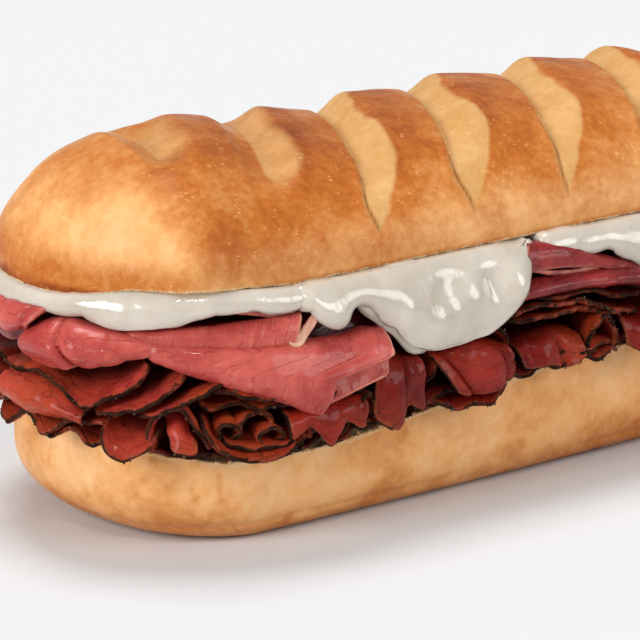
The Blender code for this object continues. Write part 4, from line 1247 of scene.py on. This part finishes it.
# Smaller curls that fill the folds between the larger slices
little_pastrami = {
    "bed_1": sheet([
        [(-158, -14, 27.6), (-126, -14, 27.6), (-94, -14, 27.6)],
        [(-160, 1.6, 28), (-126, 1.6, 27), (-92, 1.7, 25)],
    ], (1.0, 5.0, 0.1), 0.5),
    "bed_2": sheet([
        [(-98, -14, 27.6), (-78, -14, 27.6), (-58, -14, 27.6)],
        [(-99, 1.7, 23), (-78, 1.7, 22), (-57, 1.7, 22)],
    ], (1.0, 5.0, 0.4), 0.5),
    "bed_3": sheet([
        [(-62, -14, 27.6), (-40, -14, 27.6), (-18, -14, 27.6)],
        [(-62, 1.7, 22), (-40, 1.7, 23), (-18, 1.5, 25)],
    ], (1.0, 5.4, 0.2), 0.5),
    "bed_4": sheet([
        [(-22, -14, 28.6), (4, -14, 28.8), (34, -14, 29)],
        [(-22, 1.5, 26), (4, 1.2, 27.4), (34, 0.9, 28.5)],
    ], (0.9, 6.0, 0.3), 0.5),
    "bed_5": sheet([
        [(30, -14, 29.4), (60, -14, 29.4), (92, -14, 29.4)],
        [(30, 0.9, 28.5), (60, 1.2, 28.5), (92, 0.9, 28.5)],
    ], (0.9, 6.0, 0.1), 0.5),
    "bowl_roll_1": fold(
        [(-80, 27), (-80.8, 30.5), (-78.3, 32), (-76.2, 29.8), (-77.6, 27.6)], (-6, 7.2), 0.8, 1),
    "bowl_roll_2": fold(
        [(-72, 25.6), (-73, 28.2), (-70, 29.8), (-67.6, 28), (-69, 26)], (-6, 7.4), 0.8, 1),
    "arch_face": sheet([
        [(-91.2, 1.5, 33.2), (-88.6, 2.5, 33.6), (-86.6, 1.5, 32)],
        [(-90.4, 5.5, 30), (-88, 6.6, 30), (-85.6, 5.5, 29)],
        [(-89.8, 7.4, 26.4), (-87, 8.2, 25.6), (-84.4, 7.6, 25.4)],
    ]),
    "bowl_lip": sheet([
        [(-80, -5, 30), (-73, -5, 29), (-64, -5, 30)],
        [(-80, 6.5, 27.2), (-73, 7.6, 25.6), (-65, 7, 26.8)],
    ], (0.6, 2.0, 0.2)),
    "fringe_1": sheet([
        [(-122, -6, 28), (-108, -6, 29), (-96, -6, 29)],
        [(-122, 4.5, 27.5), (-108, 5.5, 27), (-96, 5.5, 26)],
    ], (1.4, 3.0, 0.0), 0.6),
    "fringe_2": sheet([
        [(-66, -6, 28), (-48, -6, 28.5), (-30, -6, 28)],
        [(-66, 5, 26.4), (-48, 6, 26.2), (-30, 5.5, 25.6)],
    ], (1.3, 4.0, 0.3), 0.6),
    "fringe_3": sheet([
        [(-34, -6, 30), (-18, -6, 30), (-1, -6, 31)],
        [(-34, 4.5, 28), (-18, 5.5, 27.6), (-1, 5, 28.2)],
    ], (1.2, 3.0, 0.1), 0.6),
    "fringe_4": sheet([
        [(-4, -6, 30), (12, -6, 31), (30, -6, 31)],
        [(-4, 5, 28.4), (12, 6, 28.6), (30, 5.5, 29)],
    ], (1.1, 3.5, 0.2), 0.6),
    "under_cone_1": sheet([
        [(-86, -6, 37), (-72, -6, 37), (-58, -6, 35)],
        [(-85, 4.5, 35.5), (-72, 5.5, 34.4), (-58, 5, 33)],
    ], (0.8, 2.5, 0.4), 0.5),
    "under_cone_2": sheet([
        [(-68, -6, 35), (-56, -6, 35.5), (-44, -6, 35)],
        [(-68, 5.5, 33), (-56, 6.5, 34), (-44, 5.5, 33)],
    ], (0.8, 2.0, 0.0), 0.5),
    "upright_1": fold(
        [(-60.5, 24.5), (-61, 29), (-59, 31.6), (-57, 29.5), (-57.6, 25)], (-6, 6.6), 0.85, 1),
    "upright_2": fold(
        [(-47, 25), (-47.5, 30), (-45.4, 33), (-43.4, 30.5), (-43.8, 26)], (-6, 6.8), 0.85, 1),
    "small_v": fold(
        [(-31, 36), (-29, 32.6), (-27.6, 31.6), (-26, 34.5), (-25.5, 38)], (-6, 5.6), 0.85, 0),
    "high_2": sheet([
        [(-4, -6, 40), (14, -6, 39.5), (34, -6, 37)],
        [(-4, 4, 40.2), (10, 5, 40.8), (22, 5.5, 39.6), (34, 5, 36.4)],
    ], (0.6, 2.4, 0.1)),
    "high_3": sheet([
        [(4, -6, 44), (20, -6, 43), (40, -6, 40)],
        [(4, 4.5, 45), (20, 5.2, 44.2), (40, 5, 39.6)],
    ], (0.5, 2.0, 0.3)),
    "low_4": sheet([
        [(0, -6, 33.5), (16, -6, 34), (34, -6, 33)],
        [(0, 5, 31.4), (16, 6.2, 31), (34, 5.5, 31.5)],
    ], (0.9, 3.0, 0.2), 0.5),
    "far_1": sheet([
        [(50, -6, 36), (70, -6, 37), (92, -6, 36)],
        [(50, 5.5, 34), (70, 6.4, 33), (92, 5.5, 33)],
    ], (1.2, 3.4, 0.3), 0.5),
    "far_2": sheet([
        [(96, -6, 36), (116, -6, 36), (136, -6, 36)],
        [(96, 5.5, 33.5), (116, 6.4, 33), (136, 5.5, 33)],
    ], (1.2, 3.4, 0.0), 0.5),
    "left_2": sheet([
        [(-152, -6, 33), (-138, -6, 33), (-122, -6, 34)],
        [(-152, 5, 31), (-138, 6, 31), (-122, 6, 32)],
    ], (1.2, 2.4, 0.2), 0.5),
    "left_3": sheet([
        [(-150, -6, 41), (-136, -6, 41), (-120, -6, 41)],
        [(-150, 4, 40), (-136, 5.6, 39.6), (-120, 5.4, 40)],
    ], (0.8, 2.0, 0.1), 0.5),
}

# Smaller folds of the rosy beef, coloured with the deep finish in the hollows as painted shade, and the
# inner wall that shows in the cone's mouth
little_corned = {
    "mouth_wall": sheet([
        [(-59, 4.6, 41), (-59, 5.2, 36), (-58.5, 6.4, 31.9)],
        [(-50, 4.8, 41.6), (-49, 5.0, 38), (-50, 6.4, 33.8)],
        [(-40, 6.2, 41.8), (-39.6, 6.0, 39.4), (-40.2, 7.2, 36.4)],
    ]),
    "left_inner": sheet([
        [(-142, -4, 51), (-128, -4, 51), (-114, -4, 52)],
        [(-142, 2.0, 50), (-128, 2.4, 50), (-115, 2.2, 51)],
        [(-142, 3.0, 46), (-128, 3.2, 44.5), (-116, 3.0, 44)],
    ], (0.8, 1.4, 0.3)),
    "behind_cones": sheet([
        [(-104, -5, 52), (-84, -5, 52), (-60, -5, 51)],
        [(-104, 1.4, 51), (-84, 1.2, 51.6), (-60, 1.2, 50.6)],
        [(-104, 2.6, 46), (-84, 1.4, 46.5), (-60, 1.0, 45)],
    ], (0.5, 2.0, 0.0)),
    "under_scallops": sheet([
        [(-64, -7, 52), (-50, -7, 51), (-34, -7, 48)],
        [(-64, -1.5, 51), (-50, -1.2, 50), (-34, -0.8, 46.5)],
        [(-64, 0.2, 46), (-50, 0.6, 44.5), (-34, 1.2, 42)],
    ], (0.9, 1.8, 0.2)),
}
fat_flap = sheet([
    [(-67.4, 4.6, 50.2), (-64.6, 5.4, 49.4), (-61.4, 4.0, 51.0), (-58.6, 3.4, 52.8)],
    [(-66.8, 5.4, 48.8), (-64.2, 5.2, 48.0), (-61.8, 5.0, 49.6), (-58.2, 4.2, 51.4)],
    [(-66.0, 4.8, 47.0), (-63.8, 5.8, 46.8), (-61.6, 5.4, 48.4), (-58.4, 4.4, 50.4)],
])


def flakes(name, spots, sizes, skin, seed):
    """Loose flakes set on these spots, each a small lump squashed its own way."""
    draw = random.Random(seed)
    lump = bpy.data.meshes.new("lump")
    bm = bmesh.new()
    for point in spots:
        one = bmesh.new()
        bmesh.ops.create_icosphere(one, subdivisions=1, radius=draw.uniform(*sizes) * MM)
        squash = [draw.uniform(0.5, 1.2) for _ in range(3)]
        for vert in one.verts:
            grown = draw.uniform(0.75, 1.2)
            vert.co = point + Vector([part * share * grown for part, share in zip(vert.co, squash)])
        one.to_mesh(lump)
        one.free()
        bm.from_mesh(lump)
    bpy.data.meshes.remove(lump)
    piece = object_from(bm, name, skin)
    piece.data.set_sharp_from_angle(angle=math.radians(40))
    return piece


def rim_spots(piece, share, reach, seed):
    """Spots drawn on a slice's rim, where it stands out of the sandwich."""
    draw = random.Random(seed)
    mesh = piece.data
    rim = mesh.attributes["rim"].data
    found = []
    for vert in mesh.vertices:
        outside = abs(vert.co.y) > 0.036 or abs(vert.co.x) > 0.098
        if outside and rim[vert.index].value < reach and draw.random() < share:
            found.append(vert.co + vert.normal * 0.15 * MM)
    return found


for label, surface in cheese.items():
    piece = sliced("melted_cheese_" + label, surface, CHEESE_CUT, cheese_skin, 1.0)
    serve(piece, "melted_cheese", "cheese_" + label)
deep_ones = ("right_face", "right_fold", "right_roll", "back_fold_1", "back_fold_3", "right_drape")
for turn, (label, surface) in enumerate(corned.items()):
    skin = dark_beef if label in deep_ones else rosy_beef
    piece = sliced("cured_slice_" + label, surface, CORNED_CUT, skin, 11.0 + turn)
    serve(piece, "corned_beef", "corned_beef_" + label)
# Painted light: these pieces round the left end take the brighter copy of the peppered finish.
lit_pieces = (
    "fan_1", "fan_2", "fan_3", "left_face", "left_tip", "left_low", "ruffle", "arch", "arch_face")
spice_spots = []
for turn, (label, surface) in enumerate(pastrami.items()):
    skin = peppered_lit if label in lit_pieces else peppered
    piece = sliced("peppered_slice_" + label, surface, PASTRAMI_CUT, skin, 31.0 + turn)
    serve(piece, "pastrami", "pastrami_" + label)
    spice_spots += rim_spots(piece, 0.03, 0.14, turn)
for turn, (label, surface) in enumerate(little_corned.items()):
    # Painted shade: the folds in the hollows take the deep finish, and the mouth wall keeps the rosy
    # one.
    skin = rosy_beef if label.startswith("mouth") else dark_beef
    serve(sliced("cured_fold_" + label, surface, CORNED_CUT, skin, 111.0 + turn), "corned_beef")
serve(sliced("fat_flap", fat_flap, CORNED_CUT, fatty, 131.0), "corned_beef")
for turn, (label, surface) in enumerate(little_pastrami.items()):
    skin = peppered_lit if label in lit_pieces else peppered
    piece = sliced("peppered_curl_" + label, surface, PASTRAMI_CUT, skin, 71.0 + turn)
    serve(piece, "pastrami")
    spice_spots += rim_spots(piece, 0.02, 0.14, 50 + turn)
crumb_draw = random.Random(4)
crumb_spots = []
for _ in range(CRUMBS):
    s, out = crumb_draw.uniform(-150, 110), crumb_draw.uniform(-1.6, 0.2)
    spot = beside(s, out, 0)
    spot.z = (rim_up(spot.x / MM, spot.y / MM) + 0.25) * MM
    crumb_spots.append(spot)
serve(flakes("bread_crumbs", crumb_spots, (0.25, 0.6), crust, 9), "crust")
serve(flakes("cracked_pepper", spice_spots, (0.16, 0.38), pepper, 7), "pastrami")
pile = stacked("peppered_pile", LOWER_TOP + 0.6, CORE_SPLIT, 7, peppered, 2.0)
serve(pile, "pastrami", "pastrami_stack")
# Painted shade: the pile inside takes the deep finish.
pile = stacked("cured_pile", CORE_SPLIT, CORE_TOP, 5, dark_beef, 5.0)
serve(pile, "corned_beef", "corned_beef_stack")


# The studio

def towards(turn, rise):
    """The direction turned this far from the front and this far above the level, in degrees."""
    turn, rise = math.radians(turn), math.radians(rise)
    level = math.cos(rise)
    return Vector((math.sin(turn) * level, -math.cos(turn) * level, math.sin(rise)))


def studio():
    """A plain pale floor, an even sky, and soft lights."""
    bm = bmesh.new()
    bmesh.ops.create_circle(bm, cap_ends=True, segments=96, radius=4.0)
    floor = object_from(bm, "floor", floor_finish())
    world = bpy.data.worlds.new("studio_air")
    world.use_nodes = True
    air = world.node_tree.nodes.get("Background") or world.node_tree.nodes.new("ShaderNodeBackground")
    air.inputs["Color"].default_value = (0.97, 0.985, 1.0, 1)
    air.inputs["Strength"].default_value = 0.29
    scene.world = world
    for name, turn, tip, power, spread in LIGHTS:
        light = bpy.data.lights.new(name, "SUN")
        light.energy = power
        light.angle = math.radians(spread)
        lamp = bpy.data.objects.new(name, light)
        scene.collection.objects.link(lamp)
        back = towards(turn, 90 - tip)
        lamp.rotation_mode = "QUATERNION"
        lamp.rotation_quaternion = (-back).to_track_quat("-Z", "Y")
        lamp.location = back * 2


def camera():
    """The camera at the photograph's angle, with a long lens."""
    back = towards(CAMERA_TURN, CAMERA_RISE)
    eye = bpy.data.cameras.new("camera")
    eye.sensor_width = SENSOR
    eye.lens = FOCAL_PIXELS / PICTURE_SIDE * SENSOR
    eye.clip_start, eye.clip_end = 0.05, 20.0
    made = bpy.data.objects.new("camera", eye)
    scene.collection.objects.link(made)
    made.location = place(*CAMERA_TARGET) + back * CAMERA_REACH * MM
    made.rotation_mode = "QUATERNION"
    made.rotation_quaternion = (-back).to_track_quat("-Z", "Y")
    scene.camera = made


studio()
camera()
scene.view_settings.view_transform = "Standard"
